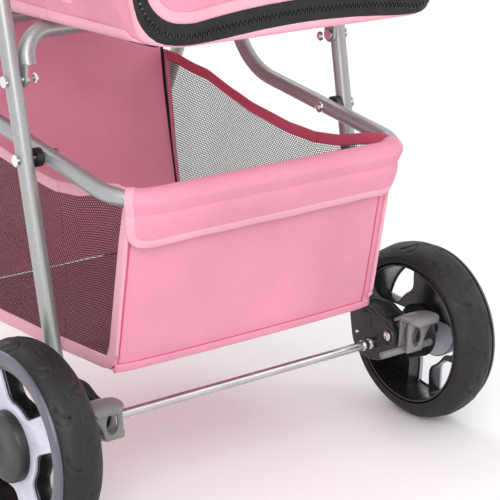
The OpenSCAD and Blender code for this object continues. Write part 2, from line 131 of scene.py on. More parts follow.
def on(obj, body, slot, *nodes):
    """Puts a piece on its body and hides the CAD nodes that it stands for; it does not use slot."""
    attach(obj, body)
    if nodes:
        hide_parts(*nodes)
    return obj


def grid_faces(nu, nv, wrap_u=False, wrap_v=False, skip=None):
    faces = []
    for i in range(nu if wrap_u else nu - 1):
        for j in range(nv if wrap_v else nv - 1):
            if skip is not None and skip(i, j):
                continue
            a, b = (i + 1) % nu, (j + 1) % nv
            faces.append((i * nv + j, a * nv + j, a * nv + b, i * nv + b))
    return faces


def arc_uv(grid):
    """Cloth coordinates in metres: distances along the two directions of a grid."""
    du = np.linalg.norm(np.diff(grid, axis=0), axis=2).mean(1)
    dv = np.linalg.norm(np.diff(grid, axis=1), axis=2).mean(0)
    u = np.concatenate([[0], np.cumsum(du)]) * MM
    v = np.concatenate([[0], np.cumsum(dv)]) * MM
    return np.stack(np.meshgrid(u, v, indexing="ij"), 2).reshape(-1, 2)


def cloth_sheet(name, grid, material, thick=1.2, skip=None, wrap_u=False):
    """A sheet of cloth on a grid of points, with a real thickness."""
    nu, nv = grid.shape[:2]
    obj = new_piece(name, grid.reshape(-1, 3), grid_faces(nu, nv, wrap_u, skip=skip), material,
                    arc_uv(grid))
    bm = bmesh.new()
    bm.from_mesh(obj.data)
    bmesh.ops.delete(bm, geom=[v for v in bm.verts if not v.link_faces], context="VERTS")
    bm.to_mesh(obj.data)
    bm.free()
    solid = obj.modifiers.new("thickness", "SOLIDIFY")
    solid.thickness = thick * MM
    solid.offset = 0
    return obj


def declare_sheet(obj):
    area = sum(p.area for p in obj.data.polygons)
    uv = np.zeros(len(obj.data.loops) * 2)
    obj.data.uv_layers[UV].data.foreach_get("uv", uv)
    uv = uv.reshape(-1, 2)
    width, length = uv.max(0) - uv.min(0)
    area = min(area, width * length)


def grid_normals(grid):
    n = np.cross(np.gradient(grid, axis=0), np.gradient(grid, axis=1))
    return unit(n)


def face_outwards(obj):
    bm = bmesh.new()
    bm.from_mesh(obj.data)
    bmesh.ops.recalc_face_normals(bm, faces=bm.faces)
    bm.to_mesh(obj.data)
    bm.free()


def sweep(name, path, side, up, section, material, closed=False, sharp=None):
    """A closed section, in (side, up) millimetres, swept along a path of points."""
    path, side, up = (np.asarray(a, float) for a in (path, side, up))
    section = np.asarray(section, float)
    n, m = len(path), len(section)
    rings = path[:, None] + section[None, :, :1] * side[:, None] + section[None, :, 1:] * up[:, None]
    verts = rings.reshape(-1, 3)
    faces = grid_faces(n, m, wrap_u=closed, wrap_v=True)
    if not closed:
        faces += [tuple(range(m))[::-1], tuple((n - 1) * m + k for k in range(m))]
    step = running(path) * MM
    around = running(section) * MM
    uv = np.stack(np.meshgrid(step, around, indexing="ij"), 2).reshape(-1, 2)
    obj = new_piece(name, verts, faces, material, uv, sharp)
    face_outwards(obj)
    return obj


def oval(half_w, half_t, n=14, power=0.6):
    """A flattened oval section: a folded tape."""
    t = np.linspace(0, 2 * np.pi, n, endpoint=False)
    c, s = np.cos(t), np.sin(t)
    return np.stack([half_w * np.sign(c) * np.abs(c)**power, half_t * np.sign(s) * np.abs(s)**power], 1)


def edge_tape(name, edge, inward, normal, width, material, thick=2.6, over=1.2):
    """Binding tape folded over a cloth edge. It covers width inward of the edge."""
    side = unit(inward)
    path = edge + side * (width / 2 - over)
    return sweep(name, path, side, unit(normal), oval(width / 2, thick / 2), material)


def frames_along(path, hint):
    """Side and up vectors along a path, both square to it."""
    tangent = unit(np.gradient(path, axis=0))
    side = unit(np.cross(tangent, np.broadcast_to(hint, path.shape)))
    return side, unit(np.cross(side, tangent))


def round_tube(name, path, r, material, hint=(1, 0, 0.01), n=20):
    side, up = frames_along(np.asarray(path, float), np.array(hint, float))
    return sweep(name, path, side, up, oval(r, r, n, 1.0), material, sharp=50)


def lathe(name, profile, at, material, n=96, shape=None, sharp=35):
    """A profile of (x, radius) turned about the line along x through at = (y, z).
    shape(angle, k) may add to the radius of profile point k."""
    x, r = np.array(profile, float).T
    t = np.linspace(0, 2 * np.pi, n, endpoint=False)
    radius = np.broadcast_to(r, (n, len(r))).copy()
    if shape is not None:
        radius += shape(t)
    grid = np.stack([np.broadcast_to(x, radius.shape),
                     at[0] + radius * np.cos(t)[:, None], at[1] + radius * np.sin(t)[:, None]], 2)
    obj = new_piece(name, grid.reshape(-1, 3), grid_faces(n, len(r), wrap_u=True), material,
                    sharp=sharp)
    bm = bmesh.new()
    bm.from_mesh(obj.data)
    bmesh.ops.remove_doubles(bm, verts=bm.verts, dist=1e-6)
    bmesh.ops.recalc_face_normals(bm, faces=bm.faces)
    bm.to_mesh(obj.data)
    bm.free()
    return obj


def plate(name, outline, holes, x0, x1, material, bevel=0.8, sharp=40, upright=False):
    """A flat plate in the y-z plane from x0 to x1, with holes and rounded edges.
    An upright one lies in the x-z plane, with x0 and x1 as its y."""
    curve = bpy.data.curves.new(name, "CURVE")
    curve.dimensions = "2D"
    curve.fill_mode = "BOTH"
    curve.extrude = ((x1 - x0) / 2 - bevel) * MM
    curve.bevel_depth = bevel * MM
    curve.bevel_resolution = 2
    curve.offset = -bevel * MM
    for loop in [outline] + list(holes):
        spl = curve.splines.new("POLY")
        spl.points.add(len(loop) - 1)
        spl.use_cyclic_u = True
        for point, (y, z) in zip(spl.points, loop):
            point.co = (y * MM, z * MM, 0, 1)
    temp = bpy.data.objects.new(name + "_curve", curve)
    bpy.context.scene.collection.objects.link(temp)
    bpy.context.view_layer.update()
    mesh = bpy.data.meshes.new_from_object(temp.evaluated_get(bpy.context.evaluated_depsgraph_get()))
    bpy.data.objects.remove(temp)
    bpy.data.curves.remove(curve)
    mid = (x0 + x1) / 2 * MM
    if upright:
        mesh.transform(Matrix(((1, 0, 0, 0), (0, 0, -1, mid + AXLE_Y), (0, 1, 0, 0), (0, 0, 0, 1))))
    else:
        mesh.transform(Matrix(((0, 0, 1, mid), (1, 0, 0, AXLE_Y), (0, 1, 0, 0), (0, 0, 0, 1))))
    mesh.name = name
    mesh.shade_smooth()
    mesh.set_sharp_from_angle(angle=math.radians(sharp))
    mesh.materials.clear()
    mesh.materials.append(material)
    obj = bpy.data.objects.new(name, mesh)
    bpy.context.scene.collection.objects.link(obj)
    bm = bmesh.new()
    bm.from_mesh(mesh)
    bmesh.ops.remove_doubles(bm, verts=bm.verts, dist=2e-6)
    bm.to_mesh(mesh)
    bm.free()
    return obj


def rounded(points, radius, n=5):
    """A closed outline with each corner rounded."""
    p = np.array(points, float)
    out = []
    for i in range(len(p)):
        a, b, c = p[i - 1], p[i], p[(i + 1) % len(p)]
        u, w = unit(a - b), unit(c - b)
        r = radius[i] if hasattr(radius, "__len__") else radius
        reach = min(r, 0.45 * np.linalg.norm(a - b), 0.45 * np.linalg.norm(c - b))
        for t in np.linspace(0, 1, n):
            out.append((1 - t)**2 * (b + u * reach) + 2 * t * (1 - t) * b + t**2 * (b + w * reach))
    return np.array(out)


# ------------------------------------------------------------------ materials


class Shader:
    """A Principled material with short calls for its nodes."""

    def __init__(self, name, **values):
        self.material = bpy.data.materials.new(name)
        self.material.use_nodes = True
        self.tree = self.material.node_tree
        self.surface = self.tree.nodes["Principled BSDF"]
        for socket, value in values.items():
            self.surface.inputs[socket.replace("_", " ")].default_value = value

    def node(self, kind, inputs=(), **settings):
        node = self.tree.nodes.new(kind)
        for key, value in settings.items():
            setattr(node, key, value)
        for i, value in enumerate(inputs):
            self.put(node.inputs[i], value)
        return node

    def put(self, socket, value):
        if value is None:
            return
        if isinstance(value, bpy.types.NodeSocket):
            self.tree.links.new(value, socket)
        else:
            socket.default_value = value

    def math(self, operation, a, b=None, clamp=False):
        return self.node("ShaderNodeMath", [a, b], operation=operation, use_clamp=clamp).outputs[0]

    def place(self):
        return self.node("ShaderNodeTexCoord").outputs["Object"]

    def uv(self):
        uv = self.node("ShaderNodeUVMap", uv_map=UV).outputs[0]
        split = self.node("ShaderNodeSeparateXYZ", [uv])
        return split.outputs[0], split.outputs[1]

    def noise(self, scale, detail=3.0, rough=0.5, vector=None):
        node = self.node("ShaderNodeTexNoise")
        self.put(node.inputs["Vector"], vector or self.place())
        node.inputs["Scale"].default_value = scale
        node.inputs["Detail"].default_value = detail
        node.inputs["Roughness"].default_value = rough
        return node.outputs["Fac"]

    def ramp(self, fac, stops):
        node = self.node("ShaderNodeValToRGB", [fac])
        elements = node.color_ramp.elements
        while len(elements) < len(stops):
            elements.new(0.5)
        for element, (position, colour) in zip(elements, stops):
            element.position = position
            element.color = (*colour, 1)
        return node.outputs[0]

    def span(self, value, a, b, c, d):
        """Maps the stretch a..b to c..d."""
        node = self.node("ShaderNodeMapRange", [value, a, b, c, d])
        return node.outputs[0]

    def bump(self, height, distance, strength=1.0, normal=None):
        node = self.node("ShaderNodeBump")
        self.put(node.inputs["Height"], height)
        node.inputs["Distance"].default_value = distance
        node.inputs["Strength"].default_value = strength
        if normal is not None:
            self.put(node.inputs["Normal"], normal)
        self.put(self.surface.inputs["Normal"], node.outputs[0])
        return node.outputs[0]

    def colour(self, value):
        self.put(self.surface.inputs["Base Color"], value)

    def roughness(self, value):
        self.put(self.surface.inputs["Roughness"], value)


def shade(colour, k):
    return tuple(min(1.0, c * k) for c in colour)


def paint(name, colour, metallic=0.55, rough=0.34):
    """Satin metallic paint on steel tube: fine flake, faint orange peel."""
    s = Shader(name, Metallic=metallic, Coat_Weight=0.25, Coat_Roughness=0.2)
    s.colour(s.ramp(s.noise(900, 1), [(0.35, shade(colour, 0.9)), (0.7, shade(colour, 1.1))]))
    s.roughness(s.span(s.noise(14), 0.3, 0.7, rough - 0.05, rough + 0.07))
    s.bump(s.noise(420, 2), 0.00004, 0.6)
    return s.material


def plastic(name, colour, rough=0.42, grain=0.00005, coat=0.0):
    """Moulded plastic with a fine spark-eroded grain and slight dulling."""
    s = Shader(name, Coat_Weight=coat, Coat_Roughness=0.15)
    s.colour(s.ramp(s.noise(24), [(0.3, shade(colour, 0.85)), (0.7, shade(colour, 1.2))]))
    s.roughness(s.span(s.noise(60), 0.3, 0.7, rough - 0.06, rough + 0.08))
    s.bump(s.noise(1500, 2), grain, 0.8)
    return s.material


def metal(name, colour, rough=0.18):
    """Bright metal with drawn marks."""
    s = Shader(name, Metallic=1.0)
    s.colour(s.ramp(s.noise(30), [(0.3, shade(colour, 0.9)), (0.7, shade(colour, 1.05))]))
    s.roughness(s.span(s.noise(180), 0.3, 0.7, rough - 0.05, rough + 0.08))
    s.bump(s.noise(700, 2), 0.00002, 0.5)
    return s.material


def rubber(name, colour):
    s = Shader(name)
    s.colour(s.ramp(s.noise(45, 4), [(0.3, shade(colour, 0.75)), (0.72, shade(colour, 1.35))]))
    s.roughness(s.span(s.noise(70), 0.3, 0.7, 0.5, 0.66))
    s.bump(s.noise(1100, 3), 0.0001, 0.7)
    return s.material


def woven(name, colour, pitch=0.0010, depth=0.00012, contrast=0.12, sheen=0.35):
    """Plain-woven polyester: crossing threads, uneven dye and soft creases."""
    s = Shader(name, Sheen_Weight=sheen, Sheen_Roughness=0.45)
    s.surface.inputs["Sheen Tint"].default_value = (*shade(colour, 1.15), 1)
    u, v = s.uv()
    turns = 2 * math.pi / pitch
    across = s.math("SINE", s.math("MULTIPLY", u, turns))
    along = s.math("SINE", s.math("MULTIPLY", v, turns))
    over = s.math("MULTIPLY", across, along)
    uneven = s.math("ADD", s.math("MULTIPLY", over, contrast), s.math("MULTIPLY", s.noise(9, 4), 0.8))
    s.colour(s.ramp(uneven, [(0.2, shade(colour, 0.88)), (0.62, shade(colour, 1.08))]))
    s.roughness(s.span(s.noise(90), 0.3, 0.7, 0.72, 0.86))
    soft = s.bump(s.noise(26, 3), 0.0012, 0.5)
    s.bump(over, depth, 0.8, soft)
    return s.material


def netting(name, thread, pitch=0.0028, hole=0.41):
    """Knitted mesh: round holes in staggered rows, seen through by alpha."""
    s = Shader(name, Roughness=0.75)
    u, v = s.uv()
    row = s.math("DIVIDE", v, pitch * 0.87)
    shift = s.math("MULTIPLY", s.math("MODULO", s.math("FLOOR", row), 2.0), 0.5)
    cu = s.math("SUBTRACT", s.math("FRACT", s.math("ADD", s.math("DIVIDE", u, pitch), shift)), 0.5)
    cv = s.math("MULTIPLY", s.math("SUBTRACT", s.math("FRACT", row), 0.5), 0.87)
    away = s.math("SQRT", s.math("ADD", s.math("POWER", s.math("ABSOLUTE", cu), 2.0),
                                 s.math("POWER", s.math("ABSOLUTE", cv), 2.0)))
    s.put(s.surface.inputs["Alpha"], s.span(away, hole - 0.05, hole + 0.05, 0.0, 1.0))
    s.colour(s.ramp(s.noise(40), [(0.3, shade(thread, 0.7)), (0.7, shade(thread, 1.4))]))
    s.bump(away, 0.0006, 0.6)
    return s.material


PINK = (0.74, 0.285, 0.395)
PALE = (0.77, 0.38, 0.465)
PAINT = paint("tube paint", (0.38, 0.385, 0.39))
BLACK = plastic("black plastic", (0.012, 0.012, 0.014), 0.4, coat=0.1)
RIM = plastic("rim plastic", (0.008, 0.008, 0.010), 0.3, coat=0.3)
GREY = plastic("grey plastic", (0.165, 0.16, 0.168), 0.35, coat=0.2)
LILAC = plastic("wheel lacquer", (0.56, 0.56, 0.66), 0.28, 0.00002, coat=0.5)
SLATE = plastic("ring lacquer", (0.075, 0.075, 0.10), 0.32, 0.00002, coat=0.3)
CHROME = metal("bright steel", (0.80, 0.80, 0.82), 0.14)
DRAWN = metal("drawn steel", (0.56, 0.55, 0.57), 0.24)
TYRE = rubber("tyre rubber", (0.006, 0.006, 0.0065))
FOAM = rubber("foam", (0.02, 0.02, 0.02))
FABRIC = woven("pink polyester", PINK)
# A brighter copy of the pink polyester for the basket's front panel: painted light, standing in for the light
# on that panel's inside face.
PINK_PAINTED_LIGHT = woven("pink polyester with painted light", (0.98, 0.36, 0.48))
COARSE = woven("pink oxford", shade(PINK, 1.0), pitch=0.0024, depth=0.0003, contrast=0.3)
TAPE = woven("pale binding", PALE, pitch=0.0012)
# Darker rose cloth: the own colour of the rear seam cords and the flap stitches, and painted shade where it
# stands for the pale binding on the right net top.
ROSE_CORD_AND_SHADE = woven("rose cord, thread and shaded binding", (0.62, 0.10, 0.17), pitch=0.0012)
ZIP_TAPE = woven("zip tape", (0.008, 0.008, 0.009), pitch=0.0012, sheen=0.1)
NET = netting("black mesh", (0.012, 0.011, 0.013))

# ------------------------------------------------------------------ carried-over CAD nodes

CAD_LOOKS = {
    PAINT: ("front_leg", "front_cross", "rear_leg", "rear_cross", "basket_tube", "handle_tube"),
    CHROME: ("hub_pins", "brake_pins", "frame_rivets", "front_axle", "canopy_bow"),
    GREY: ("latch_collar",),
    BLACK: ("caster_socket", "hub_housing", "basket_spacers", "link_collars", "handle_socket",
            "caster_fork", "cup_tray"),
}
for look, starts in CAD_LOOKS.items():
    for name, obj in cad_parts.items():
        if name.startswith(starts):
            if not obj.material_slots:
                obj.data.materials.append(look)
            for material_slot in obj.material_slots:
                material_slot.material = look

# ------------------------------------------------------------------ wheels


def ring(r, n=96):
    return arc(0, 0, r, 0, 360, n)[:-1]


def window(r_in, r_out, middle, half_in, half_out, grow=0.0):
    """The outline of one gap between two spokes."""
    sides = math.degrees(grow / r_out)
    inner = arc(0, 0, r_in - grow, middle + half_in + sides, middle - half_in - sides, 2)
    outer = arc(0, 0, r_out + grow, middle - half_out - sides, middle + half_out + sides, 4)
    return rounded(np.vstack([inner, outer]), [7, 30, 7, 6, 30, 30, 30, 6], 6)


def tread(r, w, repeats):
    """Shallow crescents and short cuts round a tyre, as a change of radius by angle and place."""
    half = 34

    def shape(t):
        s = np.linspace(-1, 1, 2 * half + 1)
        across = s * w / 2
        depth = np.zeros((len(t), len(s)))
        pitch = 2 * np.pi / repeats
        along = (np.mod(t[:, None], pitch) - pitch / 2) * r
        for side in (-1, 1):
            turn = along + side * pitch * r / 4
            turn = np.mod(turn + pitch * r / 2, pitch * r) - pitch * r / 2
            place = across[None, :] * side
            bow = np.hypot(turn + 4, place - 4)
            crescent = np.exp(-((bow - 12.5) / 1.1)**2) * (place > 3.5) * (turn > -6)
            inner = np.hypot(turn - 9, place - 12)
            hook = np.exp(-((inner - 6.5) / 0.9)**2) * (turn > 7)
            block = np.exp(-(((turn - 1) / 7)**2 + ((place - 12) / 4)**2)**2)
            cut = np.exp(-(((turn + 11) / 4.5)**2 + ((place - 3) / 1.0)**2)**2)
            depth += 0.55 * block - 1.5 * crescent - 1.0 * hook - 0.9 * cut
        seam = 0.35 * np.exp(-(across / 0.5)**2)
        return depth + seam[None, :]

    return shape, half


def build_wheel(name, body, x, at, r, w, first, repeats, out, nodes):
    """Tyre, rim, spokes, hub and cover. first is a spoke's angle; out is the outer side, -1 or 1."""
    hw = w / 2
    k = r / REAR_R
    shape, half = tread(r, w, repeats)
    s = np.linspace(-1, 1, 2 * half + 1)
    crown = [(x + hw * v, r - 0.13 * r * abs(v)**2.7 - 0.4) for v in s]
    wall_out = [(x + hw - 0.2, 0.845 * r), (x + hw - 1.6, 0.80 * r)]
    wall_in = [(x - hw + 1.6, 0.80 * r), (x - hw + 0.2, 0.845 * r)]
    extra = len(wall_in)

    def whole(t):
        add = shape(t)
        fade = np.clip((1 - np.abs(s)) * 9, 0, 1)[None, :]
        return np.hstack([np.zeros((len(t), extra)), add * fade, np.zeros((len(t), extra))])

    side = name.split("_")[-1]
    tyre = lathe(name + "_tyre", wall_in + crown + wall_out, at, TYRE, 420, whole, 60)
    on(tyre, body, "tyre", "%styre_%s" % (nodes, side))

    def axial(*values):
        ends = sorted(x + out * value for value in values)
        return ends[0], ends[1]

    # rim barrel with stepped lips
    lip = 0.80 * r
    barrel = [(-hw + 2.2, lip - 1.0 * k), (-hw + 1.4, lip - 2.2 * k), (-hw + 1.8, lip - 3.6 * k),
              (-hw + 6, lip - 4.4 * k), (-hw + 6.5, lip - 3.0 * k), (-hw + 12 * k, lip - 3.2 * k),
              (0, lip - 5.0 * k), (hw - 5, lip - 4.2 * k), (hw - 4, lip - 6 * k),
              (hw - 3, lip - 2.5 * k), (hw - 2.6, lip - 0.6 * k)]
    rim = lathe(name + "_rim", [(x + out * a, b) for a, b in barrel], at, RIM, 128)
    solid = rim.modifiers.new("wall", "SOLIDIFY")
    solid.thickness = 1.2 * MM
    on(rim, body, "rim", "%srim_%s" % (nodes, side))

    gaps = [first + 45 + 90 * i for i in range(4)]
    holes = [window(0.45 * r, 0.775 * r, g, 22, 31) + at for g in gaps] + [ring(0.075 * r, 32) + at]
    spokes = plate(name + "_spokes", ring(0.79 * r) + at, holes, *axial(1.5 * k, hw - 6.3), RIM, 1.6)
    on(spokes, body, "rim")

    hub_in = [(-hw + 4.5 * k, 0.10 * r), (-hw + 4.0 * k, 0.19 * r), (-hw + 5.5 * k, 0.23 * r),
              (-8 * k, 0.27 * r), (-4, 0.30 * r)]
    hub = lathe(name + "_hub", [(x + out * a, b) for a, b in hub_in], at, BLACK, 64)
    on(hub, body, "rim")

    # silver star and slate ring on the outer face
    holes = [window(0.46 * r, 0.775 * r, g, 22, 31, 1.6) + at for g in gaps]
    star = plate(name + "_star", ring(0.80 * r) + at, holes + [ring(0.33 * r, 64) + at],
                 *axial(hw - 6.2, hw - 2.6), LILAC, 1.0)
    on(star, body, "wheel_cover", "%scover_%s" % (nodes, side))
    band = [(hw - 6.0, 0.785 * r), (hw - 1.6, 0.79 * r), (hw - 0.6, 0.80 * r), (hw + 0.2, 0.855 * r),
            (hw - 0.4, 0.925 * r), (hw - 1.6, 0.932 * r), (hw - 3.0, 0.93 * r)]
    trim = lathe(name + "_band", [(x + out * a, b) for a, b in band], at, SLATE, 128)
    on(trim, body, "wheel_cover")


def rear_wheel(side, out, first):
    body = "rear_wheel_" + side
    at = np.array([0.0, REAR_R])
    build_wheel("rear_wheel_" + side, body, out * REAR_X, at, REAR_R, REAR_W, first, 12, out, "rear_")
    r, hw = REAR_R, REAR_W / 2
    dome = [(hw - 6, 0.352 * r), (hw + 4.6, 0.348 * r), (hw + 6.6, 0.335 * r), (hw + 7.4, 0.30 * r),
            (hw + 7.7, 0.15 * r), (hw + 6.9, 0.12 * r), (hw + 6.7, 0.001)]
    cap = lathe("rear_cap_%s_dome" % side, [(out * REAR_X + out * a, b) for a, b in dome], at, BLACK, 96)
    on(cap, body, "rim", "rear_cap_" + side)


def front_wheel(side, out):
    body = "front_wheel_" + side
    at = np.array([FRONT_Y, FRONT_R])
    build_wheel("front_wheel_" + side, body, out * FRONT_X, at, FRONT_R, FRONT_W, 45, 10, out, "front_")
    for face in (-1, 1):
        knob = [(face * 8, 19), (face * 15.5, 17), (face * 17.6, 13), (face * 17.8, 5)]
        hub = lathe("front_hub_%s_%s" % (side, "outer" if face == out else "inner"),
                    [(out * FRONT_X + a, b) for a, b in knob], at, RIM, 64)
        on(hub, body, "rim")


for side, out, first in (("left", -1, 62.5), ("right", 1, 2.0)):
    rear_wheel(side, out, first)
    front_wheel(side, out)

# ------------------------------------------------------------------ axle, brackets and brakes


def rear_axle():
    """A bright rod with a crimped stop at each bracket."""
    r = 4.5
    profile = [(-256, 0.01), (-256, r)]
    for end in (-1, 1):
        crimp = [(end * 170.5, r), (end * 169.5, r + 1.4), (end * 166, r + 1.7), (end * 163.5, r + 0.4),
                 (end * 161, r + 1.5), (end * 157, r + 1.3), (end * 155.5, r)]
        profile += crimp if end < 0 else crimp[::-1]
    profile += [(256, r), (256, 0.01)]
    axle = lathe("axle_rod", profile, (0, REAR_R), DRAWN, 48)
    on(axle, "rear_frame", "axle_steel", "rear_axle")
    for side, out in (("left", -1), ("right", 1)):
        profile = [(out * 205, 4.6), (out * 205, 8), (out * 213, 8), (out * 213, 4.6)]
        washer = lathe("axle_washer_" + side, profile, (0, REAR_R), BLACK, 48)
        on(washer, "rear_frame", "black_plastic")


BRACKET = [(39, 119), (34, 130), (26, 131.5), (7, 133), (-9, 125), (-21, 124), (-33, 117), (-35.5, 106),
           (-30, 95), (-23, 85), (-8, 77), (6, 74.5), (24, 76), (34, 89)]
BRAKE_AT = (-21.9, 108.9)


def bracket(side, out):
    """Moulded bracket: two cheeks with a recessed middle, a raised rim and a rolled top."""
    outline = rounded(BRACKET, 7, 5)
    for i, (x0, x1) in enumerate(((172, 180.2), (197.8, 204))):
        cheek = plate("bracket_cheek_%s_%d" % (side, i), outline, [ring(4.6, 32) + (0, REAR_R)],
                      *span(out, x0, x1), BLACK, 1.6)
        on(cheek, "rear_frame", "black_plastic", *(["leg_bracket_" + side] if i == 0 else []))
    middle = rounded([(37, 119), (32, 129), (8, 132), (-7, 124),
                      (-8, 79), (6, 76), (24, 77.5), (32, 89)], 6, 4)
    body = plate("bracket_body_" + side, middle, [], *span(out, 178, 199), BLACK, 1.0)
    on(body, "rear_frame", "black_plastic")
    web = rounded([(26, 116), (22, 126), (8, 127.5), (2, 112), (16, 104)], 5, 4)
    pad = plate("bracket_pad_" + side, web, [], *span(out, 170.9, 173.2), BLACK, 0.9)
    on(pad, "rear_frame", "black_plastic")
    boss = [(out * x, r) for x, r in ((173, 13), (171.4, 12.6), (170.6, 11), (171.2, 9), (172.5, 6))]
    on(lathe("bracket_boss_" + side, boss, BRAKE_AT, BLACK, 64), "rear_frame", "black_plastic")
    dome = [(0, 1), (1.0, 0.96), (1.9, 0.7), (1.6, 0.5), (1.0, 0.35)]
    for name, place, x, r in (("brake_rivet", BRAKE_AT, 171.6, 5.2),
                              ("bracket_screw", (24.6, 100.5), 172, 2.2)):
        head = [(out * (x - high), r * share) for high, share in dome] + [(out * (x - 0.9), 0.01)]
        rivet = lathe("%s_%s" % (name, side), head, place, CHROME, 40)
        on(rivet, "rear_frame", "steel", *(["brake_pins"] if name == "brake_rivet" and out < 0 else []))
    pin = [(out * x, *BRAKE_AT) for x in (172, 185, 206)]
    stub = round_tube("brake_pin_" + side, pin, 2.9, CHROME, (0, 0, 1))
    on(stub, "rear_frame", "steel")


def brake(side, out):
    """Lever: a curved pedal over an arched web, on a bar that locks the wheel."""
    body = "brake_" + side
    y, z = BRAKE_AT
    hub = plate("lever_hub_" + side, ring(9.6, 40) + BRAKE_AT, [ring(3.1, 24) + BRAKE_AT],
                *span(out, 181, 197), GREY, 1.0)
    on(hub, body, "grey_plastic", "brake_lever_" + side)
    arm = rounded([(y - 2, z - 8), (y + 3, z + 8), (-30, 127), (-41, 129), (-41, 117), (-36, 103)], 4, 4)
    on(plate("lever_arm_" + side, arm, [], *span(out, 183, 195), GREY, 1.0), body, "grey_plastic")
    # pedal: a crowned plate that rises and dips at its tip
    middle = spline([(-26, 126), (-36, 130.5), (-47, 132), (-56, 131), (-61, 127.5)], 22)
    width = spline([(16, 0), (19, 0), (19.5, 0), (18, 0), (13, 0)], 22)[:, :1]
    path = np.stack([np.full(len(middle), out * 192.5), middle[:, 0], middle[:, 1]], 1)
    across = np.broadcast_to([1.0, 0, 0], path.shape)
    up = unit(np.cross(unit(np.gradient(path, axis=0)), across))
    up *= np.sign(up[:, 2:3])
    section = oval(1.0, 2.2, 20, 0.45)
    crown = section[None, :, 1:] + 1.0 * (1 - section[None, :, :1]**2)
    rings = path[:, None] + section[None, :, :1] * (across * width)[:, None] + crown * up[:, None]
    n, m = rings.shape[:2]
    faces = grid_faces(n, m, wrap_v=True) + [tuple(range(m))[::-1], tuple((n - 1) * m + k for k in range(m))]
    pedal = new_piece("lever_pedal_" + side, rings.reshape(-1, 3), faces, GREY, sharp=55)
    face_outwards(pedal)
    on(pedal, body, "grey_plastic")
    # two A-shaped webs with a round hole carry the pedal on the bar
    web = rounded([(171.5, 98), (173, 112), (174, 130.5), (210.5, 130.5),
                   (200, 119), (194, 108), (192.5, 98)], [2, 12, 3, 3, 14, 12, 2], 5)
    hole = ring(1.0, 30) * (6.4, 10.5) + (184.5, 114.0)
    for i, y0 in enumerate((-52.5, -40.5)):
        made = plate("lever_web_%s_%d" % (side, i), web * (out, 1), [hole * (out, 1)], y0, y0 + 3.2,
                     GREY, 0.8, upright=True)
        on(made, body, "grey_plastic")
    inner_end = 144 if out > 0 else 168
    bar = [(inner_end, 0.01), (inner_end, 3.0), (inner_end + 0.8, 3.7), (211.2, 3.7), (212, 3.0), (212, 0.01)]
    bar = [(out * a, b) for a, b in bar]
    on(lathe("lever_bar_" + side, bar, (-44, 100), GREY, 32), body, "grey_plastic")


def rivet_heads():
    """Domed rivets where the basket tube and the cross tube meet the legs."""
    for side, out in (("left", -1), ("right", 1)):
        for name, z in (("basket", 333.7), ("cross", 404.3)):
            leg_x = 186.7 + 0.01664 * (z - 95)
            at = (29.2 + 0.191 * (z - 95), z)
            inner = 157.2 if name == "basket" else leg_x - 23
            for face, x, facing in (("outer", leg_x + 7.7, 1), ("inner", inner, -1)):
                dome = [(0, 4.9), (0.7, 5.0), (1.8, 4.0), (2.5, 2.2), (2.7, 0.01)]
                head = [(out * (x + facing * a), b) for a, b in dome]
                rivet = lathe("rivet_%s_%s_%s" % (name, face, side), head, at, CHROME, 32)
                on(rivet, "rear_frame", "steel")


rear_axle()
for side, out in (("left", -1), ("right", 1)):
    bracket(side, out)
    brake(side, out)
rivet_heads()

# ------------------------------------------------------------------ basket


def rear_line(z):
    """y of the basket's rear panel at a height."""
    return float(np.interp(z, [140, 151.4, 272.5, 326], [-10.6, -12.7, -35.5, -48.6]))


def front_line(z):
    """y of the basket's front panel at a height."""
    return float(np.interp(z, [133, 194, 254, 310, 350, 458], [318, 324, 336, 346, 351, 362]))


def crease(p, amount):
    """A fixed gentle unevenness of cloth, in millimetres, from the place on the sheet."""
    a, b = p
    return amount * (0.5 * math.sin(a / 23 + 1.3 * math.sin(b / 41)) + 0.3 * math.sin(b / 17 + a / 60 + 1.0)
                     + 0.2 * math.sin((a + b) / 11))


SIDE_TOP = [(-46, 324), (-23, 325), (5.5, 319.4), (42, 310.6), (80, 306.5), (120, 309), (161, 315),
            (189, 319), (223, 327), (267, 341), (297, 345), (328, 350), (351, 351)]


def side_top(y):
    ys, zs = zip(*SIDE_TOP)
    return float(np.interp(y, ys, zs))


def side_bottom(y):
    return 146 - 13 * (y + 12) / 330 - 3.0 * math.sin(math.pi * np.clip((y + 12) / 330, 0, 1))


NET_CORNER = 15.0


def soft_corner(y, z):
    """Rounds the lower rear corner of a side panel: the square there becomes a quarter disc."""
    v = np.array([y + 12.0 - NET_CORNER, z - 145.5 - NET_CORNER])
    if v[0] >= 0 or v[1] >= 0:
        return y, z
    v *= np.abs(v).max() / np.linalg.norm(v)
    return v[0] - 12.0 + NET_CORNER, v[1] + 145.5 + NET_CORNER


def side_panel(out, y0, y1, n):
    """Net side of the basket from y0 to y1: it leans with the end panels and sags inwards a little."""
    grid = np.zeros((n, 24, 3))
    for i, u in enumerate(y0 + (y1 - y0) * np.linspace(0, 1, n)**(1.6 if y0 < 0 else 1)):
        bottom_y = float(np.interp(u, [-46, PIVOT_Y, 351], [-11, PIVOT_Y, 318]))
        for j, v in enumerate(np.linspace(0, 1, 24)):
            low, high = side_bottom(bottom_y), side_top(u)
            z = low + (high - low) * v
            y = bottom_y + (u - bottom_y) * v
            ends = min(1.0, (y + 46) / 60, (352 - y) / 60)
            sag = 5.0 * math.sin(math.pi * v) * max(ends, 0) + crease((y, z), 1.5) * max(ends, 0)
            grid[i, j] = out * (BASKET_HW + 1.5 - sag * 0.8), *soft_corner(y, z)
    return grid


def bind(name, grid, edge, width, material, thick=2.8):
    """Binding tape on one edge of a grid: u0, u1, v0 or v1."""
    turned = grid.transpose(1, 0, 2)
    g = {"u0": grid, "u1": grid[::-1], "v0": turned, "v1": turned[::-1]}[edge]
    normal = grid_normals(g)[0]
    return edge_tape(name, g[0], g[1] - g[0], normal, width, material, thick)


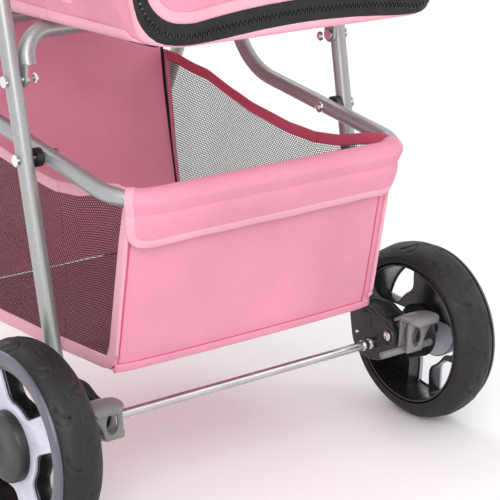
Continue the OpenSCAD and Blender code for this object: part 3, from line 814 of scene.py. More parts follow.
def basket_pieces():
    def folding(obj, half, slot, *nodes):
        """Bakes the piece's transform into its mesh, the same for either half, and hides the CAD nodes that
        it stands for.
        """
        if nodes:
            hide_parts(*nodes)
        if half == "front":
            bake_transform(obj)
        else:
            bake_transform(obj)

    for side, out in (("left", -1), ("right", 1)):
        halves = {"rear": side_panel(out, -46, PIVOT_Y, 40), "front": side_panel(out, PIVOT_Y, 351, 80)}
        for half, grid in halves.items():
            net = cloth_sheet("basket_net_%s_%s" % (side, half), grid, NET, 0.5)
            declare_sheet(net)
            folding(net, half, "mesh")
            # The right side's net top binding takes the darker rose: painted shade on the same pale binding
            # that the left side has.
            tape = bind("net_top_%s_%s" % (side, half), grid, "v1", 12, TAPE if out < 0 else ROSE_CORD_AND_SHADE, 3.0)
            folding(tape, half, "pink_fabric")
            low = bind("net_hem_%s_%s" % (side, half), grid, "v0", 13, TAPE, 3.4)
            folding(low, half, "pink_fabric")
        seam = bind("front_seam_%s" % side, halves["front"], "u1", 8, FABRIC, 3.0)
        on(seam, "chassis", "pink_fabric")

    # rear panel with its hem and the two corner bindings
    nx, nz = 90, 50
    rear = np.zeros((nx, nz, 3))
    for i, x in enumerate(np.linspace(-BASKET_HW, BASKET_HW, nx)):
        for j, z in enumerate(np.linspace(143.5, 320, nz)):
            inner = max(0.0, 1 - (abs(x) / BASKET_HW)**6) * math.sin(math.pi * (z - 143) / 180)**0.6
            tuck = 6.0 * math.exp(-((BASKET_HW - abs(x)) / 9)**2)
            hem = 1.6 * math.exp(-((z - 153.5) / 1.6)**2)
            y = rear_line(z) - 2.5 * inner - crease((x, z), 1.0) * inner + 0.35 * tuck + hem
            rear[i, j] = x, y, z - 1.5 * (1 - (x / BASKET_HW)**2) * (z < 160)
    panel = cloth_sheet("basket_rear_panel", rear, FABRIC, 1.4)
    declare_sheet(panel)
    on(panel, "basket_frame", "pink_fabric", "basket_fabric")
    hem = bind("basket_rear_hem", rear, "v0", 9, FABRIC, 4.4)
    on(hem, "basket_frame", "pink_fabric")
    for name, line in (("bottom", rear[1:-3, 2]), ("left", rear[1, 2:]), ("right", rear[-4, 2:])):
        tangent = unit(np.gradient(line, axis=0))
        seam = sweep("rear_seam_" + name, line + (0, -1.0, 0), unit(np.cross(tangent, [0, -1.0, 0])),
                     np.broadcast_to([0, -1.0, 0], line.shape), oval(0.7, 0.5, 8), ROSE_CORD_AND_SHADE)
        on(seam, "basket_frame", "pink_fabric")
    for side, out in (("left", -1), ("right", 1)):
        z = np.linspace(322, 145.5 + NET_CORNER, 50)
        down = np.stack([[rear_line(v) for v in z], z], 1)
        turned = arc(-12 + NET_CORNER, 145.5 + NET_CORNER, NET_CORNER, 182, 262, 10)
        flat = np.stack([np.linspace(6, 26, 8), [side_bottom(v) for v in np.linspace(6, 26, 8)]], 1)
        line = np.vstack([down, turned, flat])
        path = np.column_stack([np.full(len(line), out * (BASKET_HW + 0.8)), line])
        tangent = unit(np.gradient(path, axis=0))
        inward = unit(np.cross(tangent, [1.0, 0, 0]))
        inward *= np.sign(inward[0, 1])
        outward = np.broadcast_to([out, 0, 0], path.shape)
        tape = sweep("corner_binding_" + side, path + inward * 4.6, inward, outward, oval(6.2, 2.0, 16), TAPE)
        on(tape, "basket_frame", "pink_fabric")

    # front panel, up behind the cabin
    front = np.zeros((70, 60, 3))
    for i, x in enumerate(np.linspace(-BASKET_HW + 1, BASKET_HW - 1, 70)):
        for j, z in enumerate(np.linspace(133, 456, 60)):
            free = max(0.0, 1 - (abs(x) / BASKET_HW)**4)
            pull = 3.0 * math.sin(abs(x) / 13 + (z - 300) / 19) * math.exp(-((z - 430) / 60)**2)
            fold = 2.6 * math.sin((x + 0.5 * (z - 300)) / 21) * math.exp(-((z - 340) / 90)**2)
            front[i, j] = x, front_line(z) + free * (pull + fold + crease((x, z), 2.2) + 4), z
    # The front panel wears the brighter pink copy: painted light on its inside face.
    panel = cloth_sheet("basket_front_panel", front, PINK_PAINTED_LIGHT, 1.4)
    declare_sheet(panel)
    on(panel, "chassis", "pink_fabric")
    for side, out in (("left", "u0"), ("right", "u1")):
        on(bind("front_panel_edge_" + side, front, out, 4, ZIP_TAPE, 2.2), "chassis", "black_plastic")

    # floor, sagging between its hems
    for half, (y0, y1, n) in {"rear": (-11.5, PIVOT_Y, 20), "front": (PIVOT_Y, 318, 44)}.items():
        floor = np.zeros((60, n, 3))
        for i, x in enumerate(np.linspace(-BASKET_HW - 1, BASKET_HW + 1, 60)):
            for j, y in enumerate(np.linspace(y0, y1, n)):
                free = max(0.0, 1 - (x / BASKET_HW)**4)
                free *= math.sin(math.pi * np.clip((y + 12) / 331, 0, 1))**0.5
                z = 145.5 - 12.5 * (y + 12) / 330 - 5 * free + crease((x, y), 0.8) * free
                floor[i, j] = x, y, z
        sheet = cloth_sheet("basket_floor_" + half, floor, FABRIC, 1.4)
        declare_sheet(sheet)
        folding(sheet, half, "pink_fabric")


def rail_path(s):
    """Place and outward side on the basket tube's rear rail, s from its middle."""
    straight = ARM_X - CORNER_R
    if abs(s) <= straight:
        return np.array([s, RAIL_Y, 0.0]), np.array([0.0, -1.0, 0.0])
    angle = (abs(s) - straight) / CORNER_R
    sign = math.copysign(1, s)
    out = np.array([sign * math.sin(angle), -math.cos(angle), 0.0])
    centre = np.array([sign * straight, RAIL_Y + CORNER_R, 0.0])
    return centre + out * CORNER_R, out


def flap():
    """Sleeve over the rear rail: it wraps the tube, is stitched under it and hangs down outside."""
    half_length = ARM_X - CORNER_R + CORNER_R * math.radians(44)
    wrap = RAIL_R + 2.2
    inside = [(-8.5, -26), (-9.6, -16), (-wrap, -5)]
    turns = np.radians([165, 140, 115, 90, 65, 40, 15, -10, -32])
    over = [(wrap * math.cos(a), wrap * math.sin(a)) for a in turns]
    hang = [(6.6, -10.0), (5.2, -12.6), (5.4, -15.5), (5.0, -20), (2.5, -28), (-0.8, -36), (-4.0, -43.5)]
    section = spline(inside + over + hang, 90)
    lengths = running(section)
    from_hem = lengths[-1] - lengths
    corner = 13.0
    n = 150
    grid = np.zeros((n, len(section), 3))
    for j, (o, up) in enumerate(section):
        d = min(from_hem[j], corner)
        trim = corner - math.sqrt(max(corner**2 - (corner - d)**2, 0))
        for i, share in enumerate(np.linspace(-1, 1, n)):
            s = share * (half_length - trim)
            place, out = rail_path(s)
            loose = np.clip((-up - 13) / 30, 0, 1)
            ripple = loose * (0.9 * math.sin(s / 27 + 0.6) + 0.5 * math.sin(s / 11))
            ends = np.clip((abs(s) - 120) / 35, 0, 1) * loose
            grid[i, j] = place + out * (o + ripple + 1.5 * ends)
            grid[i, j, 2] = RAIL_Z + up + 0.6 * math.sin(s / 60) * loose
    sleeve = cloth_sheet("basket_flap", grid, FABRIC, 1.3)
    declare_sheet(sleeve)
    on(sleeve, "basket_frame", "pink_fabric")
    # binding round the two ends and the lower edge, with rounded corners
    keep = [j for j in range(len(section)) if section[j][1] > -14 or j > 40]
    left, right = grid[0, keep], grid[-1, keep]
    rim = np.vstack([left, grid[1:-1, -1], right[::-1]])
    inner = np.vstack([grid[1, keep], grid[1:-1, -2], grid[-2, keep][::-1]])
    steps = running(rim)
    even = np.linspace(0, steps[-1], 420)
    path = np.stack([np.interp(even, steps, rim[:, k]) for k in range(3)], 1)
    normals = grid_normals(grid)
    face = np.vstack([normals[1, keep], normals[1:-1, -2], normals[-2, keep][::-1]])
    normal = unit(np.stack([np.interp(even, steps, face[:, k]) for k in range(3)], 1))
    tangent = unit(np.gradient(path, axis=0))
    inward = unit(np.cross(normal, tangent))
    towards = np.stack([np.interp(even, steps, (inner - rim)[:, k]) for k in range(3)], 1)
    inward *= np.sign((inward * towards).sum(1).mean())
    kernel = np.ones(9) / 9
    for k in range(3):
        inward[4:-4, k] = np.convolve(inward[:, k], kernel, "valid")
    tape = edge_tape("flap_binding", path, inward, normal, 8.5, TAPE, 3.0)
    on(tape, "basket_frame", "pink_fabric")
    # stitch line under the tube
    row = int(np.argmin(np.abs(np.array(section)[:, 1] + 12.4) + (np.array(section)[:, 0] < 0) * 99))
    stitches(grid[4:-4, row], normals[4:-4, row], "flap_stitches", "basket_frame", 4.0, ROSE_CORD_AND_SHADE)


def stitches(path, normal, name, body, pitch, material, width=0.45):
    """A row of short thread stitches along a line on cloth."""
    steps = running(path)
    verts, faces, uv = [], [], []
    count = int(steps[-1] / pitch)
    for i in range(count):
        ends = [(i + 0.12) * pitch, (i + 0.5) * pitch, (i + 0.85) * pitch]
        line = np.stack([np.interp(ends, steps, path[:, k]) for k in range(3)], 1)
        lift = unit(np.stack([np.interp(ends, steps, normal[:, k]) for k in range(3)], 1))
        along = unit(line[2] - line[0])
        side = unit(np.cross(along, lift[1]))
        base = len(verts)
        for point, up, high in zip(line, lift, (0.5, 1.1, 0.5)):
            for a in range(6):
                angle = a * math.pi / 3
                verts.append(point + side * width * math.cos(angle) + up * (high + width * math.sin(angle)))
                uv.append((i * pitch * MM, a * MM))
        for k in range(2):
            for a in range(6):
                b = (a + 1) % 6
                faces.append((base + k * 6 + a, base + k * 6 + b, base + k * 6 + 6 + b, base + k * 6 + 6 + a))
        faces.append(tuple(base + a for a in range(6))[::-1])
        faces.append(tuple(base + 12 + a for a in range(6)))
    obj = new_piece(name, verts, faces, material, uv)
    return on(obj, body, "pink_fabric")


basket_pieces()
flap()

# ------------------------------------------------------------------ cabin


def offset_loop(loop, distances):
    """A convex outline with each side moved inwards by its own distance."""
    out = []
    for i in range(len(loop)):
        a, b, c = loop[i - 1], loop[i], loop[(i + 1) % len(loop)]
        u, w = unit(b - a), unit(c - b)
        n1, n2 = np.array([u[1], -u[0]]), np.array([w[1], -w[0]])
        d1, d2 = distances[i - 1], distances[i]
        if abs(n1 @ n2) > 0.995:
            out.append(b + unit(n1 + n2) * (d1 + d2) / 2)
        else:
            out.append(b + np.linalg.solve(np.array([n1, n2]), [d1, d2]))
    return np.array(out)


def even_points(loop, counts):
    """Splits each side of a closed outline into the given numbers of parts."""
    out = []
    for i, n in enumerate(counts):
        a, b = loop[i], loop[(i + 1) % len(loop)]
        out += [a + (b - a) * k / n for k in range(n)]
    return np.array(out)


def soften(loop, passes):
    for _ in range(passes):
        loop = 0.25 * np.roll(loop, 1, 0) + 0.5 * loop + 0.25 * np.roll(loop, -1, 0)
    return loop


def cabin_loops():
    """Outline of the cabin in the y-z plane, run rear, up, over, front, and the one inside its fillets."""
    roof = arc(HUB[0], HUB[1], CABIN_R, 180, BROW_ANGLE, 26)
    corners = np.vstack([[(CABIN_REAR + 175, CABIN_Z)], [(CABIN_REAR, CABIN_Z + 1)], roof,
                         [CHIN], [TOE], [(432, CABIN_Z)], [(CABIN_REAR + 400, CABIN_Z)]])
    above = [FILLET] + [FILLET * 0.7] * (len(roof) + 1)
    inner = offset_loop(corners, [BOTTOM_FILLET] + above + [BOTTOM_FILLET * 2] + [BOTTOM_FILLET] * 2)
    lengths = np.linalg.norm(np.roll(corners, -1, 0) - corners, axis=1)
    counts = [max(1, int(round(v / 2.5))) for v in lengths]
    return soften(even_points(corners, counts), 14), soften(even_points(inner, counts), 14)


OUTER, INNER = cabin_loops()
CABIN_LENGTH = running(np.vstack([OUTER, OUTER[:1]]))
CABIN_MID = np.array([150.0, 630.0])
FLAT_HW = CABIN_HW - FILLET
QUARTER = FILLET * math.pi / 2


def p_at(y, z):
    """Distance along the cabin's outline of the point nearest to (y, z)."""
    return float(CABIN_LENGTH[int(np.argmin(np.linalg.norm(OUTER - (y, z), axis=1)))])


def on_cabin(p, q, lift=0.0):
    """A point on the cabin's cloth: p along the outline, q across from the middle plane."""
    def point(p, q):
        p = p % CABIN_LENGTH[-1]
        a = np.array([np.interp(p, CABIN_LENGTH, np.append(OUTER[:, k], OUTER[0, k])) for k in (0, 1)])
        b = np.array([np.interp(p, CABIN_LENGTH, np.append(INNER[:, k], INNER[0, k])) for k in (0, 1)])
        reach = abs(q) - FLAT_HW
        if reach <= 0:
            x, yz = abs(q), a
        elif reach <= QUARTER:
            angle = reach / FILLET
            x, yz = FLAT_HW + FILLET * math.sin(angle), a + (b - a) * (1 - math.cos(angle))
        else:
            share = (reach - QUARTER) / max(np.linalg.norm(CABIN_MID - b), 1)
            puff = 4.0 * (1 - (1 - min(share * 1.5, 1))**2)
            x, yz = CABIN_HW + puff * (0.25 if b[0] > 150 else 1.0), b + (CABIN_MID - b) * share
        low = max(0.0, 1 - abs(yz[1] - CABIN_Z) / 24)
        sag = 2.0 * low * math.sin(math.pi * np.clip((yz[0] + 100) / 540, 0, 1))
        return np.array([math.copysign(x, q) if q else 0.0, yz[0], yz[1] - sag])

    base = point(p, q)
    if not lift:
        return base
    e = 1.5
    du = point(p + e, q) - point(p - e, q)
    dv = point(p, q + e) - point(p, q - e)
    n = unit(np.cross(du, dv))
    away = base - np.array([0, *CABIN_MID])
    return base + n * lift * (1 if n @ away > 0 else -1)


def cabin_grid(ps, qs, lift=0.0, folds=0.0):
    return np.array([[on_cabin(p, q, lift + (crease((p, q), folds) if folds else 0)) for q in qs]
                     for p in ps])


P_REAR_LOW = p_at(CABIN_REAR, CABIN_Z + 10)
P_DOOR_TOP = p_at(CABIN_REAR, 648)
DOOR_Q = FLAT_HW + QUARTER - 5
P_DOOR_LOW = P_REAR_LOW + 3
DOOR_RISE, DOOR_CORNER = 9.0, 34.0
BROW = HUB + CABIN_R * np.array([math.cos(math.radians(BROW_ANGLE)), math.sin(math.radians(BROW_ANGLE))])
P_FRONT_HIGH, P_FRONT_LOW = p_at(*BROW) + 16, p_at(*CHIN) - 16
WINDOW_Q = FLAT_HW - 2


def door_rise(q):
    """How far the door's lower edge rises towards the middle."""
    return DOOR_RISE * max(0.0, 1 - (q / 125)**2)


def spread(start, end, step):
    n = max(2, int(round(abs(end - start) / step)) + 1)
    return np.linspace(start, end, n)


def cabin_body():
    """The fabric body: one skin with rounded edges, open at the rear door and the front window."""
    ps = np.concatenate([spread(0, P_DOOR_LOW, 8)[:-1], spread(P_DOOR_LOW, P_DOOR_TOP, 7)[:-1],
                         spread(P_DOOR_TOP, P_FRONT_HIGH, 8)[:-1], spread(P_FRONT_HIGH, P_FRONT_LOW, 8)[:-1],
                         spread(P_FRONT_LOW, CABIN_LENGTH[-1], 7)[:-1]])
    edge = FLAT_HW + QUARTER
    half = np.concatenate([spread(0, WINDOW_Q, 12)[:-1], spread(WINDOW_Q, DOOR_Q, 6)[:-1],
                           spread(DOOR_Q, edge, 5)[:-1], spread(edge, edge + 60, 8)])
    qs = np.concatenate([-half[::-1], half[1:]])
    grid = cabin_grid(ps, qs, folds=0.9)

    def skip(i, j):
        p = (ps[i] + (ps[i + 1] if i + 1 < len(ps) else CABIN_LENGTH[-1])) / 2
        q = abs(qs[j] + qs[j + 1]) / 2
        door = P_DOOR_LOW + door_rise(q) < p < P_DOOR_TOP and q < DOOR_Q
        window = P_FRONT_HIGH < p < P_FRONT_LOW and q < WINDOW_Q
        return door or window

    body = cloth_sheet("cabin_body", grid, FABRIC, 1.6, skip, wrap_u=True)
    on(body, "chassis", "pink_fabric", "cabin_shell")
    for side, out in (("left", -1), ("right", 1)):
        # the rest of the side wall, from the outline to its middle
        rim = np.array([on_cabin(p, out * (edge + 60)) for p in ps])
        centre = np.array([rim[:, 0].mean(), *CABIN_MID])
        shares = np.linspace(0, 1, 18)[:-1]
        wall = np.array([[r + (centre - r) * s for s in shares] for r in rim])
        for i in range(wall.shape[0]):
            for j in range(1, wall.shape[1]):
                y, z = wall[i, j, 1:]
                wall[i, j, 0] += out * crease((y, z), 1.6) * min(1, j / 4)
        verts = np.vstack([wall.reshape(-1, 3), centre[None]])
        faces = grid_faces(len(ps), len(shares), wrap_u=True)
        last = len(shares) - 1
        faces += [(i * len(shares) + last, ((i + 1) % len(ps)) * len(shares) + last, len(verts) - 1)
                  for i in range(len(ps))]
        flat = verts[:, 1:] * MM
        side_wall = new_piece("cabin_side_" + side, verts, faces, FABRIC, flat)
        thick = side_wall.modifiers.new("thickness", "SOLIDIFY")
        thick.thickness = 1.6 * MM
        on(side_wall, "chassis", "pink_fabric")


UNDERLAY = 1.3


def cabin_ribbon(name, route, width, lift, thick, material, body="chassis", slot="pink_fabric"):
    """Tape that lies on the cabin along a route of (p, q)."""
    route = np.array(route, float)
    lift += UNDERLAY
    tangent = unit(np.gradient(route, axis=0))
    beside = np.stack([-tangent[:, 1], tangent[:, 0]], 1)
    offsets = np.linspace(-0.5, 0.5, 9)
    top = [[on_cabin(*(r + b * o * width), lift + thick * (1 - (2 * abs(o))**4)) for o in offsets]
           for r, b in zip(route, beside)]
    low = [[on_cabin(*(r + b * o * width), lift * 0.2) for o in offsets[::-1]] for r, b in zip(route, beside)]
    rings = np.concatenate([np.array(top), np.array(low)], 1)
    n, m = rings.shape[:2]
    faces = grid_faces(n, m, wrap_v=True) + [tuple(range(m))[::-1], tuple((n - 1) * m + k for k in range(m))]
    step = running(rings[:, 4]) * MM
    uv = np.stack(np.meshgrid(step, np.linspace(0, 2 * width * MM, m), indexing="ij"), 2).reshape(-1, 2)
    obj = new_piece(name, rings.reshape(-1, 3), faces, material, uv, 60)
    face_outwards(obj)
    return on(obj, body, slot)


def u_route(p0, p1, q, radius, step=5.0, offset=0.0):
    """A route down one side, across and up the other, with round corners, moved outwards by offset."""
    q, p0, radius = q + offset, p0 - offset, max(radius + offset, 3)
    left = [(p, -q) for p in spread(p1, p0 + radius, step)]
    turn_a = [(p0 + radius - radius * math.sin(a), -q + radius - radius * math.cos(a))
              for a in np.linspace(0, math.pi / 2, 10)[1:-1]]
    across = [(p0 + door_rise(x), x) for x in spread(-q + radius, q - radius, step)]
    turn_b = [(p0 + radius - radius * math.cos(a), q - radius + radius * math.sin(a))
              for a in np.linspace(0, math.pi / 2, 10)[1:-1]]
    right = [(p, q) for p in spread(p0 + radius, p1, step)]
    return left + turn_a + across + turn_b + right


def zip_teeth(name, route, lift, body):
    """Two rows of small coil teeth along a route on the cabin."""
    route = np.array(route, float)
    steps = running(route)
    pitch = 2.4
    verts, faces = [], []
    for k in range(int(steps[-1] / pitch)):
        s = k * pitch
        here = np.array([np.interp(s, steps, route[:, i]) for i in (0, 1)])
        ahead = np.array([np.interp(s + 1, steps, route[:, i]) for i in (0, 1)])
        along = unit(ahead - here) if np.linalg.norm(ahead - here) > 1e-6 else np.array([0.0, 1.0])
        beside = np.array([-along[1], along[0]]) * (1 if k % 2 else -1)
        base = len(verts)
        for high in (lift, lift + 1.3):
            shrink = 1.0 if high == lift else 0.6
            for a, b in ((-0.8, -0.8), (0.8, -0.8), (0.8, 3.0), (-0.8, 3.0)):
                verts.append(on_cabin(*(here + along * a * shrink + beside * (b * shrink)), high))
        faces += [(base, base + 1, base + 5, base + 4), (base + 1, base + 2, base + 6, base + 5),
                  (base + 2, base + 3, base + 7, base + 6), (base + 3, base, base + 4, base + 7),
                  (base + 4, base + 5, base + 6, base + 7), (base + 3, base + 2, base + 1, base)]
    obj = new_piece(name, verts, faces, RIM, sharp=30)
    return on(obj, body, "black_plastic")


def rear_door():
    """Coarse-weave rear door with its binding, and the zip round it."""
    inset = 1.5
    ps = spread(P_DOOR_LOW + inset, P_DOOR_TOP - 1, 6)
    qs = spread(-DOOR_Q + inset, DOOR_Q - inset, 6)
    grid = np.array([[on_cabin(p, q, 0.3 + crease((p, q), 0.9)) for q in qs] for p in ps])
    for i, p in enumerate(ps):
        d = p - ps[0]
        limit = DOOR_Q - inset - (DOOR_CORNER - math.sqrt(DOOR_CORNER**2 - max(DOOR_CORNER - d, 0)**2))
        fade = max(0.0, 1 - d / 60)
        for j, q in enumerate(qs * limit / qs[-1]):
            grid[i, j] = on_cabin(p + door_rise(q) * fade, q, 0.3 + crease((p, q), 0.9))
    door = cloth_sheet("rear_door_panel", grid, COARSE, 1.5)
    declare_sheet(door)
    on(door, "rear_door", "pink_fabric", "rear_door")

    def around(offset, step=5.0):
        return u_route(P_DOOR_LOW, P_DOOR_TOP - 2, DOOR_Q, DOOR_CORNER, step, offset)

    cabin_ribbon("rear_door_binding", around(-10.5), 10, 0.6, 1.4, TAPE, "rear_door")
    cabin_ribbon("rear_zip_tape", around(5.0), 21, 0.5, 0.6, ZIP_TAPE, slot="black_plastic")
    zip_teeth("rear_zip_teeth", around(5.0, 2.0), 1.0 + UNDERLAY, "chassis")
    cabin_ribbon("rear_zip_binding", around(20.0), 10, 0.5, 1.2, TAPE)
    top = [(P_DOOR_TOP + 3, q) for q in spread(-DOOR_Q - 22, DOOR_Q + 22, 6)]
    cabin_ribbon("rear_door_fold", top, 9, 0.5, 1.2, TAPE)
    for side, out in (("left", -1), ("right", 1)):
        puller("rear_zip_pull_" + side, (P_DOOR_TOP - 12, out * (DOOR_Q + 5)), "chassis")


def puller(name, at, body):
    """Zip slider with a hanging tab."""
    def slab(part, p0, p1, half, low, high, material):
        verts = []
        for high_k, k in ((low, 1.0), (high, 0.8)):
            for p, q in ((p0, -half), (p1, -half), (p1, half), (p0, half)):
                mid = (p0 + p1) / 2
                verts.append(on_cabin(at[0] + mid + (p - mid) * k, at[1] + q * k, high_k))
        faces = [(0, 1, 5, 4), (1, 2, 6, 5), (2, 3, 7, 6), (3, 0, 4, 7), (4, 5, 6, 7), (3, 2, 1, 0)]
        obj = new_piece("%s_%s" % (name, part), verts, faces, material)
        bevel = obj.modifiers.new("edges", "BEVEL")
        bevel.width = 0.6 * MM
        bevel.segments = 2
        on(obj, body, "steel" if part == "slider" else "black_plastic")

    slab("slider", -5, 5, 4.2, 0.8, 4.6, CHROME)
    slab("tab", -30, -3, 3.0, 4.4, 6.4, RIM)


def front_window():
    """Net front door in a bound opening, with a zip round it."""
    inset = 2.0
    ps = spread(P_FRONT_LOW - inset, P_FRONT_HIGH + inset, 7)
    qs = spread(-WINDOW_Q + inset, WINDOW_Q - inset, 7)
    grid = np.array([[on_cabin(p, q, -1.5 + 0.6 * crease((p, q), 1.5)) for q in qs] for p in ps])
    door = cloth_sheet("front_door_net", grid, NET, 0.6)
    declare_sheet(door)
    on(door, "front_door", "mesh", "front_door")
    lo, hi = P_FRONT_HIGH, P_FRONT_LOW
    loops = {"front_door_binding": (-7, 9, 0.4, 1.6, TAPE, "front_door"),
             "front_zip_tape": (3, 10, 0.4, 0.6, ZIP_TAPE, "chassis"),
             "front_window_binding": (11.5, 7, 0.4, 1.4, TAPE, "chassis")}
    for name, (off, width, lift, thick, material, body) in loops.items():
        route = rounded_route(lo - off, hi + off, WINDOW_Q + off, 22)
        cabin_ribbon(name, route, width, lift, thick, material, body,
                     "black_plastic" if material is ZIP_TAPE else "pink_fabric")
    teeth = rounded_route(lo - 3, hi + 3, WINDOW_Q + 3, 22, 2.0)
    zip_teeth("front_zip_teeth", teeth, 0.9 + UNDERLAY, "chassis")


def rounded_route(p0, p1, q, r, step=6.0):
    """A closed route round a rectangle with round corners, ending where it starts."""
    def corner(p, c, sp, sq, first):
        turn = np.linspace(0, math.pi / 2, 9)[1:-1]
        a = [(p + sp * r * math.cos(t), c + sq * r * math.sin(t)) for t in turn]
        return a if first else a[::-1]

    route = [(p0, x) for x in spread(0, q - r, step)]
    route += corner(p0 + r, q - r, -1, 1, True)
    route += [(p, q) for p in spread(p0 + r, p1 - r, step)]
    route += corner(p1 - r, q - r, 1, 1, False)
    route += [(p1, x) for x in spread(q - r, -q + r, step)]
    route += corner(p1 - r, -q + r, 1, -1, True)
    route += [(p, -q) for p in spread(p1 - r, p0 + r, step)]
    route += corner(p0 + r, -q + r, -1, -1, False)
    return route + [(p0, x) for x in spread(-q + r, 0, step)]


def cabin_trim():
    """Hems and piping along the side seams, a strap tie under each corner and a strap patch."""
    edge = FLAT_HW + QUARTER
    front = CABIN_LENGTH[-1] - 352
    for side, out in (("left", -1), ("right", 1)):
        for name, start, end in (("rear", P_REAR_LOW - 22, 1), ("front", CABIN_LENGTH[-1] - 1, front)):
            hem = [(p, out * (edge - 9)) for p in spread(start, end, 6)]
            cabin_ribbon("cabin_hem_%s_%s" % (side, name), hem, 30, 0.6, 1.5, TAPE)
        whole = [(p, out * (edge + 3)) for p in spread(P_DOOR_TOP + 6, front - 4, 6)]
        cabin_ribbon("cabin_piping_" + side, whole, 5, 0.5, 2.0, TAPE)
        tie = [(p, out * (FLAT_HW + 22)) for p in spread(P_REAR_LOW - 30, P_REAR_LOW - 62, 5)]
        cabin_ribbon("cabin_tie_" + side, tie, 12, 1.0, 2.5, ZIP_TAPE, slot="black_plastic")
        y, z = 45.0, 478.0
        patch = rounded([(y - 9, z), (y + 9, z), (y + 9, z + 26), (y - 9, z + 26)], 2, 3)
        tag = plate("strap_patch_" + side, patch, [], *span(out, CABIN_HW + 0.2, CABIN_HW + 2.2), TAPE, 0.5)
        on(tag, "chassis", "pink_fabric")


cabin_body()
rear_door()
front_window()
cabin_trim()

# ------------------------------------------------------------------ canopy


def canopy():
    """One curved sheet from the bow to the roof, with side wings."""
    half, turn_r, wing = 152.0, 9.5, 74.0
    radius = CABIN_R + 3.6
    angles = np.linspace(CANOPY_TO, CANOPY_FROM, 56)
    reach = half + turn_r * math.pi / 2 + wing
    across = np.concatenate([spread(0, half, 12)[:-1], spread(half, half + turn_r * 1.57, 3)[:-1],
                             spread(half + turn_r * 1.57, reach, 9)])
    across = np.concatenate([-across[::-1], across[1:]])

    def place(angle, w, lift=0.0):
        share = (CANOPY_TO - angle) / (CANOPY_TO - CANOPY_FROM)
        bays = abs(math.sin(share * math.pi * 3))
        puff = -2.0 * (1 - bays) * 0.6 + 1.2 * bays
        past = abs(w) - half
        if past <= 0:
            x, r = abs(w), radius + puff + lift
        elif past <= turn_r * math.pi / 2:
            t = past / turn_r
            x = half + (turn_r + lift) * math.sin(t)
            r = radius + puff - turn_r + (turn_r + lift) * math.cos(t)
        else:
            down = past - turn_r * math.pi / 2
            scallop = 1 - 0.16 * math.cos(share * math.pi * 6)
            x, r = half + turn_r + lift, radius + puff - turn_r - down * scallop
        a = math.radians(angle)
        y, z = HUB + r * np.array([math.cos(a), math.sin(a)])
        return np.array([math.copysign(x, w) if w else 0.0, y, z])

    def gather(obj):
        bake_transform(obj)

    grid = np.array([[place(a, w, 0.2 * crease((a * 4, w), 2.0)) for w in across] for a in angles])
    sheet = cloth_sheet("canopy_sheet", grid, FABRIC, 1.5)
    declare_sheet(sheet)
    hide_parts("canopy_fabric")
    gather(sheet)
    for name, edge, width in (("front", "u1", 16), ("back", "u0", 9), ("left", "v0", 9), ("right", "v1", 9)):
        tape = bind("canopy_binding_" + name, grid, edge, width, TAPE, 3.4)
        gather(tape)
    for k in (1, 2):
        angle = CANOPY_TO + (CANOPY_FROM - CANOPY_TO) * k / 3
        seam = np.array([place(angle, w, 1.2) for w in across[6:-6]])
        side = np.array([place(angle + 0.5, w, 1.2) for w in across[6:-6]]) - seam
        up = unit(seam - np.array([0, *HUB])) * np.array([0.2, 1, 1])
        rib = sweep("canopy_seam_%d" % k, seam, unit(side), unit(up), oval(3.0, 0.9, 12), TAPE)
        gather(rib)


canopy()

# ------------------------------------------------------------------ handle, tray and floor mat


def grip():
    """Foam sleeve with shallow grooves and moulded end rings."""
    centre = HUB + 475 * np.array([-math.sin(math.pi / 4), math.cos(math.pi / 4)])
    profile = [(-150, 8.2), (-150, 14)]
    for x in np.linspace(-148, 148, 149):
        swell = 1.2 * math.cos(x / 150 * math.pi / 2)
        groove = 0.9 * math.exp(-((abs(x) - 132) / 1.6)**2) + 0.9 * math.exp(-((abs(x) - 124) / 1.6)**2)
        profile.append((x, 14.6 + swell - groove))
    profile += [(150, 14), (150, 8.2)]
    sleeve = lathe("foam_grip", profile, centre, FOAM, 64)
    on(sleeve, "handle", "foam", "handle_grip")


def tray():
    """Rolled lips round the tray's two cup wells and its bin."""
    y0, z = -138.0, 924.0
    t = np.linspace(0, 2 * np.pi, 72, endpoint=False)
    cup = np.stack([40 * np.cos(t), y0 + 40 * np.sin(t)], 1)
    bin_edge = rounded([(-77, y0 - 31), (77, y0 - 31), (77, y0 + 31), (-77, y0 + 31)], 8, 8)
    for name, x, edge in (("cup_lip_left", -128, cup), ("cup_lip_right", 128, cup), ("bin_lip", 0, bin_edge)):
        path = np.column_stack([edge + (x, 0), np.full(len(edge), z)])
        outward = unit(path - (x, y0, z))
        up = np.broadcast_to([0, 0, 1.0], path.shape)
        lip = sweep(name, path, outward, up, oval(2.8, 1.8, 12, 1.0), BLACK, closed=True)
        on(lip, "handle", "black_plastic")


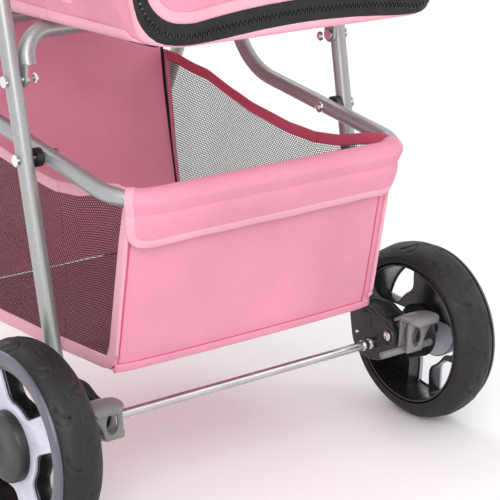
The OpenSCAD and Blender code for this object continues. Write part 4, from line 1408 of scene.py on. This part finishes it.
def soft_mat():
    """Padded mat on the cabin floor, swollen by a short cloth simulation."""
    low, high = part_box("cabin_floor_board")
    size = (high - low) * 0.5
    middle = (low + high) * 0.5
    bm = bmesh.new()
    bmesh.ops.create_cube(bm, size=2)
    bmesh.ops.scale(bm, vec=(size.x - 0.004, size.y - 0.004, size.z + 0.002), verts=bm.verts)
    bmesh.ops.translate(bm, vec=middle + Vector((0, 0, 0.004)), verts=bm.verts)
    mesh = bpy.data.meshes.new("cabin_mat")
    bm.to_mesh(mesh)
    bm.free()
    mat = bpy.data.objects.new("cabin_mat", mesh)
    bpy.context.scene.collection.objects.link(mat)
    bpy.context.view_layer.objects.active = mat
    mat.select_set(True)
    remesh = mat.modifiers.new("remesh", "REMESH")
    remesh.mode = "VOXEL"
    remesh.voxel_size = 0.0075
    bpy.ops.object.modifier_apply(modifier="remesh")
    rest = np.array([v.co for v in mat.data.vertices])
    cloth = mat.modifiers.new("cloth", "CLOTH")
    cloth.settings.use_pressure = True
    cloth.settings.uniform_pressure_force = 3
    cloth.settings.effector_weights.gravity = 0
    for step in range(1, 16):
        bpy.context.scene.frame_set(step)
    bpy.ops.object.modifier_apply(modifier="cloth")
    bpy.context.scene.frame_set(1)
    moved = np.array([v.co for v in mat.data.vertices])
    change = moved - rest
    far = np.linalg.norm(change, axis=1, keepdims=True)
    change *= np.minimum(1, 0.012 / np.maximum(far, 1e-9))
    change[rest[:, 2] < middle.z, 2] = np.maximum(change[rest[:, 2] < middle.z, 2], 0)
    tuft = np.zeros(len(rest))
    for x in (-0.075, 0.075):
        for y in (-0.16, 0.0, 0.16):
            d = np.hypot(rest[:, 0] - x - middle.x, rest[:, 1] - y - middle.y)
            tuft += np.exp(-(d / 0.018)**2)
    co = rest + change
    co[:, 2] -= 0.007 * tuft * (rest[:, 2] > middle.z)
    low_z, wall = low.z + 0.0005, 0.1525
    co[:, 2] = np.maximum(co[:, 2], low_z)
    co[:, 0] = np.clip(co[:, 0], -wall, wall)
    co[:, 1] = np.clip(co[:, 1], low.y - 0.002, high.y + 0.002)
    mat.data.vertices.foreach_set("co", co.ravel())
    mat.data.update()
    mat.data.shade_smooth()
    flat = mat.data.uv_layers.new(name=UV)
    index = np.zeros(len(mat.data.loops), int)
    mat.data.loops.foreach_get("vertex_index", index)
    flat.data.foreach_set("uv", co[:, :2][index].ravel())
    mat.data.materials.append(FABRIC)
    smooth = mat.modifiers.new("smooth", "SUBSURF")
    smooth.levels = smooth.render_levels = 1
    on(mat, "chassis", "board", "cabin_floor_board")


grip()
tray()
soft_mat()

# ------------------------------------------------------------------ studio


def studio():
    floor_mesh = bpy.data.meshes.new("floor")
    floor_mesh.from_pydata([(-9, -9, 0), (9, -9, 0), (9, 9, 0), (-9, 9, 0)], [], [(0, 1, 2, 3)])
    floor = bpy.data.objects.new("floor", floor_mesh)
    bpy.context.scene.collection.objects.link(floor)
    s = Shader("studio floor", Roughness=0.9, Specular_IOR_Level=0.2)
    s.colour(s.ramp(s.noise(0.6), [(0.3, (0.86, 0.86, 0.865)), (0.7, (0.89, 0.89, 0.89))]))
    floor.data.materials.append(s.material)

    world = bpy.data.worlds.new("studio")
    world.use_nodes = True
    world.node_tree.nodes["Background"].inputs[0].default_value = (1.0, 1.0, 1.0, 1)
    world.node_tree.nodes["Background"].inputs[1].default_value = 1.0
    bpy.context.scene.world = world
    bpy.context.scene.view_settings.view_transform = "Standard"
    for name, place, size, power in (
            ("key", (-1.6, -2.2, 2.6), 2.2, 24), ("fill", (2.4, -2.0, 1.8), 2.0, 12),
            ("low", (-1.0, -1.5, 0.95), 0.9, 9), ("back", (0.4, 2.6, 2.4), 2.4, 26)):
        light = bpy.data.lights.new(name, "AREA")
        light.shape = "DISK"
        light.size = size
        light.energy = power
        lamp = bpy.data.objects.new(name, light)
        lamp.location = place
        lamp.rotation_euler = (Vector((0, 0, 0.35)) - Vector(place)).to_track_quat("-Z", "Y").to_euler()
        bpy.context.scene.collection.objects.link(lamp)


def camera():
    azimuth, elevation = math.radians(-37.40), math.radians(17.55)
    right = Vector((math.cos(azimuth), math.sin(azimuth), 0))
    back = Vector((math.sin(azimuth) * math.cos(elevation), -math.cos(azimuth) * math.cos(elevation),
                   math.sin(elevation)))
    up = back.cross(right)
    data = bpy.data.cameras.new("camera")
    data.sensor_width = 36
    data.lens = 125.64
    data.shift_x, data.shift_y = 0.0008, -0.003
    cam = bpy.data.objects.new("camera", data)
    cam.matrix_world = Matrix(((right.x, up.x, back.x, -0.96395), (right.y, up.y, back.y, -1.43301),
                               (right.z, up.z, back.z, 0.73575), (0, 0, 0, 1)))
    bpy.context.scene.collection.objects.link(cam)
    bpy.context.scene.camera = cam


studio()
camera()
